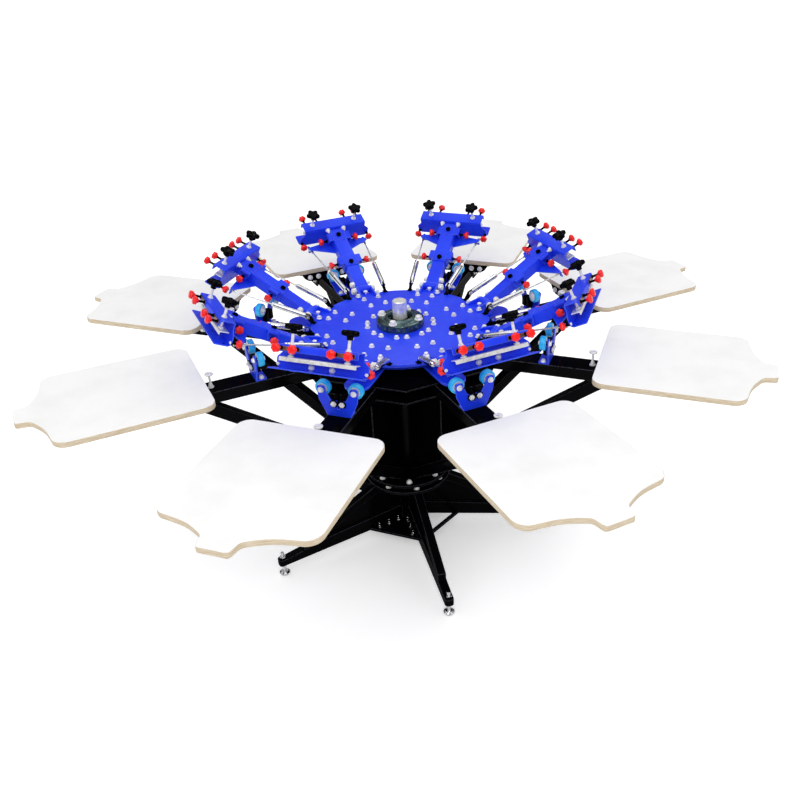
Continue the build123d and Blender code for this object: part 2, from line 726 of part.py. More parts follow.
def collar():
    """Round flange bearing on the disc, with a sunk seat for the bearing's inner ring."""
    bore, top = SHAFT_R + FIT, DISC_TOP + COLLAR_H
    edge, lip, lip_out, lip_in = 5.0, top + 7, 56.0, 40.0
    with BuildPart() as cap:
        with BuildSketch(SIDE):
            with BuildLine():
                Polyline((bore, DISC_TOP), (COLLAR_R, DISC_TOP), (COLLAR_R, top - 7), (COLLAR_R - edge, top),
                         (lip_out, top), (lip_out - 5, lip), (lip_in + 3, lip), (lip_in, top), (bore, top),
                         close=True)
            make_face()
        revolve(axis=Axis.Z)
    return cap.part


hinge = [hinge_cheek(1), hinge_cheek(-1), hinge_pin()] + spring_anchor(1) + spring_anchor(-1)
hub_disc_top = TONGUE_TOP - TONGUE_THICK
disc = [print_disc(), hub_disc(), bearing_housing(HOUSING_BOTTOM, hub_disc_top - TONGUE_THICK, HOUSING_R),
        bearing_housing(hub_disc_top, DISC_TOP - DISC_THICK, HOUSING_R + 20)]
write("print_disc", disc + [tongue().moved(place) for place in station_places])
write("head_hinges", hinge, station_places)
write("shaft_collar", [collar()])

bolts = []
for angle in stations():
    for side in (1, -1):
        foot_bolt = bolt_head(FOOT_BOLT_U, side * FOOT_BOLT_V, DISC_TOP + 4, DISC_BOLT)
        bolts.append(foot_bolt.moved(spin(angle)))
        for reach, aside in DISC_BOLTS:
            bolts.append(bolt_head(reach, 0, DISC_TOP, DISC_BOLT).moved(spin(angle + side * aside)))
for place in all_round(4, COLLAR_BOLT_ANGLE):
    bolts.append(bolt_head(COLLAR_BOLT_R, 0, DISC_TOP + COLLAR_H, COLLAR_BOLT).moved(place))
write("disc_bolts", bolts)


# ---- print head, made once in its own frame ----------------------------------------------
def web_back(z):
    """X of the clamp web's rear face at height z in the head frame."""
    tilt = radians(CLAMP_TILT)
    return CLAMP_AT[0] - SHEET / cos(tilt) - (z - CLAMP_AT[1]) * sin(tilt) / cos(tilt)


def head_arm():
    """Square tube with a plugged, bored root."""
    wall, plug_end, boss_r = 3.0, 40.0, 14.0
    front = web_back(HEAD_BOTTOM) + 6
    with BuildPart() as arm:
        with BuildSketch(SIDE):
            with BuildLine():
                Polyline((10, HEAD_TOP), (web_back(HEAD_TOP), HEAD_TOP), (web_back(HEAD_BOTTOM), HEAD_BOTTOM),
                         (26, HEAD_BOTTOM), (0, -boss_r), (0, 12), close=True)
            make_face()
            Circle(boss_r)
            Circle(PIN_R + FIT, mode=Mode.SUBTRACT)
        extrude(amount=HEAD_W / 2, both=True)
        with BuildSketch(SIDE):
            with Locations(((plug_end + front) / 2, (HEAD_TOP + HEAD_BOTTOM) / 2)):
                Rectangle(front - plug_end, HEAD_TOP - HEAD_BOTTOM - 2 * wall)
        extrude(amount=HEAD_W / 2 - wall, both=True, mode=Mode.SUBTRACT)
    return arm.part


def wing(side):
    """Swept plate under the arm with a drilled tab that a lift rod slides through."""
    thick, back, front, hole_r = 4.0, 208.0, 284.0, 6.5
    tab_w, tab_h = 20.0, 26.0
    tip_v = side * WING_TIP[1]
    with BuildPart() as plate:
        with BuildSketch(Plane.XY.offset(HEAD_BOTTOM - thick)):
            with BuildLine():
                Polyline((back, 0), (WING_TIP[0] - 8, tip_v), (WING_TIP[0] + 4, tip_v), (front, 0), close=True)
            make_face()
        extrude(amount=thick)
        with BuildSketch(Plane.YZ.offset(ROD_END[0] - thick / 2)):
            with Locations((side * (ROD_END[2] - 2), HEAD_BOTTOM - tab_h / 2)):
                Rectangle(tab_w, tab_h)
            with Locations((side * ROD_END[2], ROD_END[1])):
                Circle(hole_r, mode=Mode.SUBTRACT)
        extrude(amount=thick)
    return plate.part


def sleeve():
    """Registration sleeve round the top and sides of the arm."""
    with BuildPart() as cover:
        with BuildSketch(SIDE):
            with BuildLine():
                Polyline((SLEEVE_START, HEAD_BOTTOM), (web_back(HEAD_BOTTOM), HEAD_BOTTOM),
                         (web_back(SLEEVE_TOP), SLEEVE_TOP), (SLEEVE_START, SLEEVE_TOP), close=True)
            make_face()
        extrude(amount=SLEEVE_W / 2, both=True)
        with BuildSketch(Plane.YZ.offset(SLEEVE_START)):
            with Locations((0, (HEAD_TOP + HEAD_BOTTOM) / 2)):
                Rectangle(HEAD_W, HEAD_TOP - HEAD_BOTTOM)
        extrude(amount=CLAMP_AT[0] - SLEEVE_START, mode=Mode.SUBTRACT)
    return cover.part


def sleeve_ear(s, side):
    """Angle beside the sleeve that carries an adjusting screw."""
    thick, length, tab, drop = 4.5, 36.0, 22.0, -22.0
    middle = side * (SLEEVE_W / 2 + EAR_HALF) / 2
    with BuildPart() as ear:
        with BuildSketch(Plane.XY.offset(SLEEVE_TOP - thick)):
            with Locations((s, middle)):
                Rectangle(length, EAR_HALF - SLEEVE_W / 2)
        extrude(amount=thick)
        with BuildSketch(Plane.XY.offset(drop)):
            with Locations((s, side * (EAR_HALF - thick / 2))):
                Rectangle(tab, thick)
        extrude(amount=SLEEVE_TOP - thick - drop)
    return ear.part


def clamp_channel():
    """Folded channel that takes a screen frame's edge, in the clamp frame."""
    top_half, low_half, corner = CLAMP_W / 2, JAW_W / 2, 12.0
    web = [(top_half, -SHEET), (top_half, -22), (low_half - 2, -38), (low_half - 2, corner - WEB_H),
           (low_half - corner + SHEET + 1, SHEET - WEB_H)]
    jaw = [(-SHEET, low_half - corner), (corner - SHEET, low_half), (JAW_DEPTH, low_half)]
    with BuildPart() as channel:
        with BuildSketch(SIDE):
            with BuildLine():
                Polyline((-SHEET, 0), (TOP_DEPTH, 0), (TOP_DEPTH, -LIP_H), (TOP_DEPTH - SHEET, -LIP_H),
                         (TOP_DEPTH - SHEET, -SHEET), (-SHEET, -SHEET), close=True)
            make_face()
        extrude(amount=top_half, both=True)
        with BuildSketch(Plane.YZ):
            with BuildLine():
                Polyline(*web, *[(-v, z) for v, z in reversed(web)], close=True)
            make_face()
        extrude(amount=-SHEET)
        with BuildSketch(Plane.XY.offset(-WEB_H)):
            with BuildLine():
                Polyline(*jaw, *[(x, -v) for x, v in reversed(jaw)], close=True)
            make_face()
        extrude(amount=SHEET)
        with BuildSketch(Plane.XY):
            with Locations((STUD_X, STUD_V), (STUD_X, -STUD_V)):
                Circle(STUD_R + 0.3)
        extrude(amount=-SHEET, mode=Mode.SUBTRACT)
    return channel.part


def clamp_bar():
    """Angle bar that the star knobs press down on a screen frame."""
    front, drop = BAR_X + BAR_W, BAR_Z - 12
    outline = [(BAR_X, BAR_Z), (front, BAR_Z), (front, drop), (front - SHEET, drop),
               (front - SHEET, BAR_Z - SHEET), (BAR_X, BAR_Z - SHEET)]
    return plate_on(SIDE, outline, BAR_L / 2, both=True)


def star_knob(side):
    """Five-lobed hand knob on its stud, in the clamp frame."""
    centre = (STUD_X, side * STUD_V)
    lobes, lobe_r, core_r, height, boss_r, boss_h = 5, 8.5, 19.0, 24.0, 9.0, 6.0
    with BuildPart() as knob:
        with BuildSketch(Plane.XY.offset(STAR_Z)):
            with Locations(centre):
                Circle(core_r)
                with PolarLocations(STAR_R - lobe_r, lobes):
                    Circle(lobe_r)
        extrude(amount=height)
        with BuildSketch(Plane.XY.offset(STAR_Z - boss_h)):
            with Locations(centre):
                Circle(boss_r)
        extrude(amount=boss_h)
        with BuildSketch(Plane.XY.offset(BAR_Z)):
            with Locations(centre):
                Circle(STUD_R)
        extrude(amount=STAR_Z - BAR_Z)
    return knob.part


def screw_knob(plane, reach):
    """Lobed knob on a thin screw; the plane's normal points from screw tip to knob."""
    screw_r, core_r, lobes, lobe_r, height = 3.0, 9.0, 6, 3.5, 16.0
    with BuildPart() as screw:
        with BuildSketch(plane):
            Circle(screw_r)
        extrude(amount=reach)
        with BuildSketch(plane.offset(reach)):
            Circle(core_r)
            with PolarLocations(core_r, lobes):
                Circle(lobe_r)
        extrude(amount=height)
    return screw.part


def head_knobs():
    """All hand knobs of one head, and the two round bolt heads on its sleeve."""
    front_reach, back_reach, side_reach, side_z = 22.0, 14.0, 16.0, -11.0
    bolt_r, bolt_h = 9.0, 8.0
    pieces = []
    for side in (1, -1):
        clamp_pieces = [star_knob(side)]
        for v in FRONT_V:
            start = Plane((TOP_DEPTH, side * v, -LIP_H / 2), z_dir=(1, 0, 0))
            clamp_pieces.append(screw_knob(start, front_reach))
        start = Plane((-SHEET, side * BACK_SCREW[0], BACK_SCREW[1]), z_dir=(-1, 0, 0))
        clamp_pieces.append(screw_knob(start, back_reach))
        pieces += [piece.moved(clamp_place()) for piece in clamp_pieces]
        for s in (EAR_S, UPPER_SCREW_S):
            pieces.append(screw_knob(Plane((s, side * EAR_HALF, side_z), z_dir=(0, side, 0)), side_reach))
    for s in SLEEVE_BOLTS:
        pieces.append(rod(Plane((s, 0, SLEEVE_TOP)), bolt_r, bolt_h))
    return pieces


def lift_spring(side):
    """Lift spring in its tube with eye and rod, in the head frame at rest."""
    tilt = radians(RAISED)
    eye_r, neck_l, neck_w, eye_half = 7.0, 16.0, 9.0, 3.5
    tube_start, tube_end, tube_r = 13.0, 131.0, 7.5
    nut_across, nut_end, rod_r, rod_past = 13.0, 139.0, 2.3, 22.0
    stop_at, stop_across, stop_h = 14.0, 9.0, 6.0
    back = Vector(ANCHOR_U - PIN_U, 0, ANCHOR_Z - PIN_Z)
    eye = Vector(back.X * cos(tilt) + back.Z * sin(tilt), side * ANCHOR_V,
                 -back.X * sin(tilt) + back.Z * cos(tilt))
    tip = Vector(ROD_END[0], side * ROD_END[2], ROD_END[1])
    along = (tip - eye).normalized()
    reach = (tip - eye).length

    def at(distance):
        return Plane(eye + along * distance, x_dir=along.cross(Vector(0, 0, 1)), z_dir=along)

    with BuildPart() as strut:
        with BuildSketch(Plane(eye, x_dir=along - Vector(0, along.Y, 0), z_dir=(0, 1, 0))):
            Circle(eye_r)
            with Locations((neck_l / 2, 0)):
                Rectangle(neck_l, neck_w)
            Circle(EYE_R + FIT, mode=Mode.SUBTRACT)
        extrude(amount=eye_half, both=True)
        with BuildSketch(at(tube_start)):
            Circle(tube_r)
        extrude(amount=tube_end - tube_start)
        with BuildSketch(at(tube_end)):
            RegularPolygon(nut_across / 2, 6, major_radius=False)
        extrude(amount=nut_end - tube_end)
        with BuildSketch(at(nut_end)):
            Circle(rod_r)
        extrude(amount=reach + rod_past - nut_end)
        with BuildSketch(at(reach + stop_at)):
            RegularPolygon(stop_across / 2, 6, major_radius=False)
        extrude(amount=stop_h)
    return strut.part


arm = [head_arm(), wing(1), wing(-1)]
channel_set = [sleeve()] + [sleeve_ear(s, side) for s in (EAR_S, UPPER_SCREW_S) for side in (1, -1)]
channel_set += [piece.moved(clamp_place()) for piece in (clamp_channel(), clamp_bar())]
knobs = head_knobs()
springs = [lift_spring(1), lift_spring(-1)]
for k, angle in enumerate(stations(), 1):
    place = [head_place(angle)]
    write(f"head_{k}_arm", arm, place)
    write(f"head_{k}_clamp", channel_set, place)
    write(f"head_{k}_knobs", knobs, place)
    write(f"head_{k}_springs", springs, place)
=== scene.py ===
"""Looks of the eight-colour, eight-station carousel screen press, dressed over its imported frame.

Shapes are written in millimetres in the frame of what they belong to and become metres when a
mesh is made. A station's frame has X out along the arm and Z up. A head's frame has its origin on
the tilt pin and X out along the raised arm. A clamp's frame starts on its web's outer top edge.
In names, U is a distance out from the shaft, S one out along a head's arm, and V one across.
"""
import bmesh
import bpy
from math import cos, pi, radians, sin
from mathutils import Matrix, Vector


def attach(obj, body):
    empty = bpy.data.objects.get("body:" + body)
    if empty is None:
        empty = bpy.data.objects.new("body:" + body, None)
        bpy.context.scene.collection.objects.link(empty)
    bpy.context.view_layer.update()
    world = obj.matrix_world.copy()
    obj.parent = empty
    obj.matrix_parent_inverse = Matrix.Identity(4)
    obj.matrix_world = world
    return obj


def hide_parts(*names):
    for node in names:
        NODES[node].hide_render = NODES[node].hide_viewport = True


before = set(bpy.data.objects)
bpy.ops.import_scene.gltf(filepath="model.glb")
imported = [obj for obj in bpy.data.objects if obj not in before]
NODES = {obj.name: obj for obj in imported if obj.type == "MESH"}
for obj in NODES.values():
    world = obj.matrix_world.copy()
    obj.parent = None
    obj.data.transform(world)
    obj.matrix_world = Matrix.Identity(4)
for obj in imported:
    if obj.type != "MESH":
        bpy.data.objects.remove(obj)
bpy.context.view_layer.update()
MM = 0.001
STATIONS, FIRST_STATION = 8, 22.5
STEP = 360 / STATIONS
AROUND = range(1, STATIONS + 1)
ARM_TOP = 785.0                      # upper face of the board arms
DISC_TOP = 853.0
PIN_U, PIN_Z = 338.0, 862.0          # tilt pin of a head
ANCHOR_U, ANCHOR_V, ANCHOR_Z = 315.0, 73.0, 877.0
RAISED = 31.4                        # a head's slope at rest
CLAMP_S, CLAMP_Z, CLAMP_TILT = 308.0, 20.0, 6.0


# ---- frames -------------------------------------------------------------------------------
def move(x=0.0, y=0.0, z=0.0):
    return Matrix.Translation((x, y, z))


def turn(degrees_round, axis="Z"):
    return Matrix.Rotation(radians(degrees_round), 4, axis)


def station(k):
    """Frame of station k, counted from 1."""
    return turn(FIRST_STATION + (k - 1) * STEP)


def aim(origin, direction, side=(0, 0, 1)):
    """Frame at origin whose Z runs along direction."""
    z = Vector(direction).normalized()
    x = Vector(side) - Vector(side).dot(z) * z
    if x.length < 1e-6:
        x = Vector((1, 0, 0)) - z.x * z
    x.normalize()
    y = z.cross(x)
    turned = Matrix((x, y, z)).transposed().to_4x4()
    return move(*origin) @ turned


def across(u=0.0):
    """Frame of a sketch across the arm, whose X is across and whose Y is up."""
    return aim((u, 0, 0), (1, 0, 0), side=(0, 1, 0))


def beside(v, u=0.0):
    """Frame of a sketch seen from the side, whose X is out and whose Y is down."""
    return aim((u, v, 0), (0, 1, 0), side=(1, 0, 0))


HEAD = move(PIN_U, 0, PIN_Z) @ turn(-RAISED, "Y")
CLAMP = move(CLAMP_S, 0, CLAMP_Z) @ turn(CLAMP_TILT, "Y")
CLAMP_SIDE = CLAMP @ aim((0, 0, 0), (0, -1, 0), side=(1, 0, 0))   # sketch X is out, Y is up
CENTRE = Matrix.Identity(4)


# ---- mesh making --------------------------------------------------------------------------
def hexagon(size):
    """Radius of a hexagon with that width across its flats, by angle."""
    def radius(angle):
        return size / 2 / cos((angle + pi / 6) % (pi / 3) - pi / 6)
    return radius


def lobed(inner, outer, lobes, sharpness):
    """Radius of a rounded star between two radii, by angle."""
    def radius(angle):
        return inner + (outer - inner) * (0.5 + 0.5 * cos(lobes * angle)) ** sharpness
    return radius


def scaled(radius, factor):
    return lambda angle: radius(angle) * factor


class Shape:
    """Faces collected in millimetres, made into one mesh."""

    def __init__(self):
        self.bm = bmesh.new()

    def loft(self, at, rings, sides=24, loop=False):
        """A skin through rings of (height, radius or radius by angle) along a frame's Z."""
        rows = []
        for height, radius in rings:
            row = []
            for i in range(sides):
                angle = 2 * pi * i / sides
                r = radius(angle) if callable(radius) else radius
                corner = Vector((r * cos(angle), r * sin(angle), height))
                row.append(self.bm.verts.new(at @ corner))
            rows.append(row)
        pairs = list(zip(rows, rows[1:]))
        if loop:
            pairs.append((rows[-1], rows[0]))
        for low, high in pairs:
            for i in range(sides):
                j = (i + 1) % sides
                self.bm.faces.new((low[i], low[j], high[j], high[i]))
        if not loop:
            self.bm.faces.new(reversed(rows[0]))
            self.bm.faces.new(rows[-1])
        return self

    def prism(self, at, outline, low, high):
        """A flat outline on a frame's XY plane, given thickness along its Z."""
        bottom = [self.bm.verts.new(at @ Vector((x, y, low))) for x, y in outline]
        top = [self.bm.verts.new(at @ Vector((x, y, high))) for x, y in outline]
        self.bm.faces.new(reversed(bottom))
        self.bm.faces.new(top)
        for i in range(len(outline)):
            j = (i + 1) % len(outline)
            self.bm.faces.new((bottom[i], bottom[j], top[j], top[i]))
        return self

    def block(self, at, x0, x1, y0, y1, z0, z1):
        return self.prism(at, [(x0, y0), (x1, y0), (x1, y1), (x0, y1)], z0, z1)

    def mesh(self, name, smooth):
        """The mesh in metres, with its angles above smooth left sharp."""
        bmesh.ops.recalc_face_normals(self.bm, faces=self.bm.faces)
        bmesh.ops.scale(self.bm, vec=(MM, MM, MM), verts=self.bm.verts)
        made = bpy.data.meshes.new(name)
        self.bm.to_mesh(made)
        self.bm.free()
        made.shade_smooth()
        made.set_sharp_from_angle(angle=radians(smooth))
        return made


ROOM = 0.49    # share of a side that one corner's rounding may take


def rounded(points, radii, steps=5):
    """An outline with each corner rounded to its radius."""
    out = []
    count = len(points)
    for i, (corner, radius) in enumerate(zip(points, radii)):
        here = Vector(corner)
        if radius <= 0:
            out.append(tuple(here))
            continue
        back = Vector(points[i - 1]) - here
        ahead = Vector(points[(i + 1) % count]) - here
        half = back.angle(ahead) / 2
        wanted = radius / abs(sin(half) / cos(half))
        cut = min(wanted, back.length * ROOM, ahead.length * ROOM)
        start = here + back.normalized() * cut
        end = here + ahead.normalized() * cut
        for step in range(steps + 1):
            t = step / steps
            point = start * (1 - t) ** 2 + here * 2 * t * (1 - t) + end * t ** 2
            out.append(tuple(point))
    return out


def mirrored(half, radii, steps=5):
    """A symmetric outline from one half of it, with rounded corners."""
    other = [(-v, z) for v, z in reversed(half)]
    return rounded(half + other, radii + radii[::-1], steps)


def slab(x0, x1, y0, y1, radius):
    """A rectangle with rounded corners."""
    return rounded([(x0, y0), (x1, y0), (x1, y1), (x0, y1)], [radius] * 4)


def folded(points, thick, bend):
    """Closed outline of sheet metal folded along a line of points, thickened to its left."""
    def normal(a, b):
        along = (Vector(b) - Vector(a)).normalized()
        return Vector((-along.y, along.x))

    far = []
    for i, here in enumerate(points):
        before = normal(points[i - 1], here) if i else None
        after = normal(here, points[i + 1]) if i < len(points) - 1 else None
        if before is None or after is None:
            far.append(tuple(Vector(here) + (before or after) * thick))
        else:
            both = before + after
            far.append(tuple(Vector(here) + both * thick / both.dot(before)))
    line_r, far_r = [0], [0]
    for i in range(1, len(points) - 1):
        a = Vector(points[i]) - Vector(points[i - 1])
        b = Vector(points[i + 1]) - Vector(points[i])
        turns_left = a.x * b.y - a.y * b.x > 0
        line_r.append(max(bend - thick if turns_left else bend, 0))
        far_r.append(max(bend if turns_left else bend - thick, 0))
    line_r.append(0)
    far_r.append(0)
    return rounded(points + far[::-1], line_r + far_r[::-1], 4)


def hex_bolt(shape, at, size, height, washer=True):
    """Hexagon head on a washer, standing on the frame's XY plane."""
    foot = 0.0
    if washer:
        foot = size * 0.13
        shape.loft(at, [(0, size * 0.72), (foot, size * 0.72)])
    six = hexagon(size)
    shape.loft(at, [(foot, six), (foot + height * 0.78, six), (foot + height, size * 0.44)])


def cap_bolt(shape, at, radius, height):
    """Round head with a recessed socket."""
    shape.loft(at, [(0, radius), (height * 0.85, radius), (height, radius * 0.88),
                    (height, radius * 0.52), (height * 0.45, radius * 0.5)])


def dome(shape, at, radius, height):
    """Smooth round head."""
    shape.loft(at, [(0, radius), (height * 0.35, radius * 0.97), (height * 0.75, radius * 0.74),
                    (height, radius * 0.36)])


def nut(shape, at, size, low, high):
    """Plain hexagon nut between two heights."""
    shape.loft(at, [(low, hexagon(size)), (high, hexagon(size))])


def cap_nut(shape, at, size, low, high, top, tip):
    """Hexagon nut with a crown that narrows to a round tip."""
    shape.loft(at, [(low, hexagon(size)), (high, hexagon(size)), (top, tip)])


def flat_washer(shape, at, radius, low, high, sides=24):
    shape.loft(at, [(low, radius), (high, radius)], sides)


# ---- finishes -----------------------------------------------------------------------------
def srgb(red, green, blue):
    def linear(c):
        c /= 255
        return c / 12.92 if c <= 0.04045 else ((c + 0.055) / 1.055) ** 2.4
    return (linear(red), linear(green), linear(blue), 1.0)


class Finish:
    """A material's node graph, built step by step in object space."""

    def __init__(self, name, **plain):
        self.material = bpy.data.materials.new(name)
        self.material.use_nodes = True
        self.tree = self.material.node_tree
        self.shader = self.tree.nodes["Principled BSDF"]
        self.place = self.add("ShaderNodeTexCoord").outputs["Object"]
        for socket, value in plain.items():
            self.shader.inputs[socket.replace("_", " ")].default_value = value

    def add(self, kind, **settings):
        node = self.tree.nodes.new(kind)
        for key, value in settings.items():
            setattr(node, key, value)
        return node

    def link(self, source, target):
        self.tree.links.new(source, target)
        return self

    def noise(self, scale, detail=3.0, rough=0.55, stretch=None):
        place = self.place
        if stretch:
            mapping = self.add("ShaderNodeMapping")
            mapping.inputs["Scale"].default_value = stretch
            self.link(place, mapping.inputs["Vector"])
            place = mapping.outputs["Vector"]
        node = self.add("ShaderNodeTexNoise")
        node.inputs["Scale"].default_value = scale
        node.inputs["Detail"].default_value = detail
        node.inputs["Roughness"].default_value = rough
        self.link(place, node.inputs["Vector"])
        return node.outputs["Fac"]

    def levels(self, source, low, high, out_low=0.0, out_high=1.0):
        node = self.add("ShaderNodeMapRange")
        for name, value in (("From Min", low), ("From Max", high),
                            ("To Min", out_low), ("To Max", out_high)):
            node.inputs[name].default_value = value
        self.link(source, node.inputs["Value"])
        return node.outputs["Result"]

    def mix(self, fac, a, b):
        """Colour between a and b, each a colour or a socket."""
        node = self.add("ShaderNodeMix", data_type="RGBA")
        self.link(fac, node.inputs[0])
        for value, socket in ((a, node.inputs[6]), (b, node.inputs[7])):
            if isinstance(value, tuple):
                socket.default_value = value
            else:
                self.link(value, socket)
        return node.outputs[2]

    def colour(self, source):
        return self.link(source, self.shader.inputs["Base Color"])

    def roughness(self, source):
        return self.link(source, self.shader.inputs["Roughness"])

    def bump(self, source, distance, strength=1.0):
        node = self.add("ShaderNodeBump")
        node.inputs["Distance"].default_value = distance
        node.inputs["Strength"].default_value = strength
        self.link(source, node.inputs["Height"])
        return self.link(node.outputs["Normal"], self.shader.inputs["Normal"])


def powder_coat(name, base, shade, rough, shine, worn=None, coat=0.05):
    """Baked powder coat: orange peel, a little variation, and specks of a worn colour if one is given."""
    f = Finish(name, Coat_Weight=coat, Coat_Roughness=0.12)
    f.shader.inputs["Specular IOR Level"].default_value = shine
    patches = f.levels(f.noise(9, 4), 0.35, 0.68)
    tone = f.mix(patches, shade, base)
    if worn:
        specks = f.levels(f.noise(160, 3), 0.5, 0.62)
        tone = f.mix(specks, worn, tone)
    f.colour(tone)
    f.roughness(f.levels(f.noise(40, 3), 0.3, 0.7, rough - 0.05, rough + 0.06))
    f.bump(f.noise(900, 2), 0.00012, 0.5)
    return f.material


DULLED = 0.72    # a dulled patch's colour, as a share of the bright metal's


def metal(name, base, rough, grain, scale=700, stretch=(1, 1, 1), metallic=1.0):
    """Plated or turned metal with a fine grain and dulled patches."""
    f = Finish(name, Metallic=metallic)
    dull = tuple(c * DULLED for c in base[:3]) + (1.0,)
    f.colour(f.mix(f.levels(f.noise(60, 4), 0.42, 0.7), base, dull))
    f.roughness(f.levels(f.noise(90, 3), 0.3, 0.7, rough, rough + 0.14))
    f.bump(f.noise(scale, 2, stretch=stretch), grain, 0.6)
    return f.material


def plastic(name, base, shade, rough, coat=0.3, shine=0.5):
    """Moulded plastic, with slight sink marks and handling marks."""
    f = Finish(name, Coat_Weight=coat, Coat_Roughness=0.1)
    f.shader.inputs["Specular IOR Level"].default_value = shine
    f.colour(f.mix(f.levels(f.noise(50, 3), 0.35, 0.7), base, shade))
    f.roughness(f.levels(f.noise(120, 3), 0.3, 0.7, rough, rough + 0.15))
    f.bump(f.noise(500, 2), 0.0001, 0.4)
    return f.material


def board_finish():
    """White laminate above and below, with the plywood's layers along the edge."""
    f = Finish("board_laminate")
    f.shader.inputs["Specular IOR Level"].default_value = 0.15
    facing = f.add("ShaderNodeSeparateXYZ")
    f.link(f.add("ShaderNodeNewGeometry").outputs["Normal"], facing.inputs[0])
    size = f.add("ShaderNodeMath", operation="ABSOLUTE")
    f.link(facing.outputs["Z"], size.inputs[0])
    flat = f.levels(size.outputs[0], 0.55, 0.75)
    ply = f.noise(30, 4, 0.6, stretch=(1, 1, 22))
    edge = f.mix(f.levels(ply, 0.35, 0.65), srgb(232, 219, 196), srgb(196, 176, 146))
    smudge = f.mix(f.levels(f.noise(7, 4), 0.45, 0.8), srgb(247, 247, 246), srgb(238, 238, 237))
    f.colour(f.mix(flat, edge, smudge))
    f.roughness(f.levels(f.noise(25, 3), 0.3, 0.7, 0.34, 0.5))
    f.bump(f.noise(400, 3, stretch=(1, 1, 6)), 0.00015, 0.35)
    return f.material


def turned_steel():
    """Dark, slightly green steel with tooling rings round the carousel's axis."""
    f = Finish("collar_steel", Metallic=0.85)
    rings = f.add("ShaderNodeTexWave", wave_type="RINGS", rings_direction="Z")
    rings.inputs["Scale"].default_value = 160
    rings.inputs["Distortion"].default_value = 0.6
    f.link(f.place, rings.inputs["Vector"])
    f.colour(f.mix(f.levels(f.noise(35, 4), 0.35, 0.7), srgb(104, 128, 130), srgb(54, 72, 76)))
    f.roughness(f.levels(f.noise(60, 3), 0.3, 0.7, 0.12, 0.22))
    f.bump(rings.outputs["Fac"], 0.0001, 0.4)
    return f.material


BLUE = powder_coat("royal_blue_powder_coat", srgb(30, 68, 246), srgb(24, 54, 236), 0.36, shine=0.25)
# Lighter than BLUE: a painted highlight on the bevelled edges, with specks of real wear on it.
BLUE_EDGE_HIGHLIGHT_AND_WEAR = powder_coat("royal_blue_edge_painted_highlight_and_wear", srgb(52, 90, 250), srgb(36, 70, 244), 0.36,
                        worn=srgb(92, 122, 240), shine=0.25)
BLACK = powder_coat("black_enamel", srgb(7, 7, 10), srgb(4, 4, 5), 0.13, shine=0.0, coat=0.08)
# Lighter than BLACK: a painted highlight on the bevelled edges, with specks of real wear on it.
BLACK_EDGE_HIGHLIGHT_AND_WEAR = powder_coat("black_enamel_edge_painted_highlight_and_wear", srgb(22, 23, 30), srgb(13, 13, 18), 0.2,
                         worn=srgb(60, 60, 66), shine=0.02, coat=0.12)
FITTING = plastic("black_moulding", srgb(8, 8, 9), srgb(5, 5, 6), 0.3, coat=0.06, shine=0.0)
KNOB_BLACK = plastic("black_knob", srgb(6, 6, 7), srgb(3, 3, 4), 0.1, coat=0.14, shine=0.0)
CHROME = metal("bright_chrome", srgb(240, 240, 242), 0.08, 0.00004)
SHAFT = metal("ground_shaft", srgb(254, 253, 248), 0.1, 0.00004, metallic=0.55)
ZINC = metal("zinc_plate", srgb(255, 254, 250), 0.18, 0.00006, metallic=0.15)
ALUMINIUM = metal("brushed_aluminium", srgb(250, 250, 246), 0.3, 0.00008,
                  scale=500, stretch=(1, 0.06, 1), metallic=0.3)
RED = plastic("red_moulding", srgb(254, 34, 30), srgb(244, 22, 20), 0.16, shine=0.4)
TYRE = plastic("sky_blue_polyurethane", srgb(44, 200, 255), srgb(22, 178, 255), 0.3)
HUB_WHITE = plastic("white_nylon", srgb(254, 254, 254), srgb(240, 242, 244), 0.35)
BRONZE = metal("spring_strip", srgb(176, 150, 132), 0.3, 0.00006)
STEEL = turned_steel()
BOARD = board_finish()


# ---- putting pieces in place --------------------------------------------------------------
def soften(obj, width):
    """Real rounded edges, which take the object's last material; where that is an edge finish, it paints a
    highlight and wear specks on them.
    """
    bevel = obj.modifiers.new("edges", "BEVEL")
    bevel.width = width * MM
    bevel.segments = 2
    bevel.limit_method = "ANGLE"
    bevel.angle_limit = radians(35)
    bevel.use_clamp_overlap = False
    bevel.material = len(obj.data.materials) - 1


def dress(node, *finishes, edge=0.0):
    """A CAD node that stays, with its finish and softened edges."""
    obj = NODES[node]
    obj.data.materials.clear()
    for finish in finishes:
        obj.data.materials.append(finish)
    if edge:
        weld = obj.modifiers.new("weld", "WELD")
        weld.merge_threshold = 0.01 * MM
        soften(obj, edge)


def put(name, mesh, at, body, nodes=(), edge=0.0):
    """One piece from a mesh, riding on its body and standing for the CAD nodes it replaces."""
    obj = bpy.data.objects.new(name, mesh)
    bpy.context.scene.collection.objects.link(obj)
    place = at.copy()
    place.translation *= MM
    obj.matrix_world = place
    if edge:
        soften(obj, edge)
    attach(obj, body)
    if nodes:
        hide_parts(*nodes)


def finished(shape, name, *finishes, smooth=38):
    """A shape's mesh with its finishes."""
    mesh = shape.mesh(name, smooth)
    for finish in finishes:
        mesh.materials.append(finish)
    return mesh


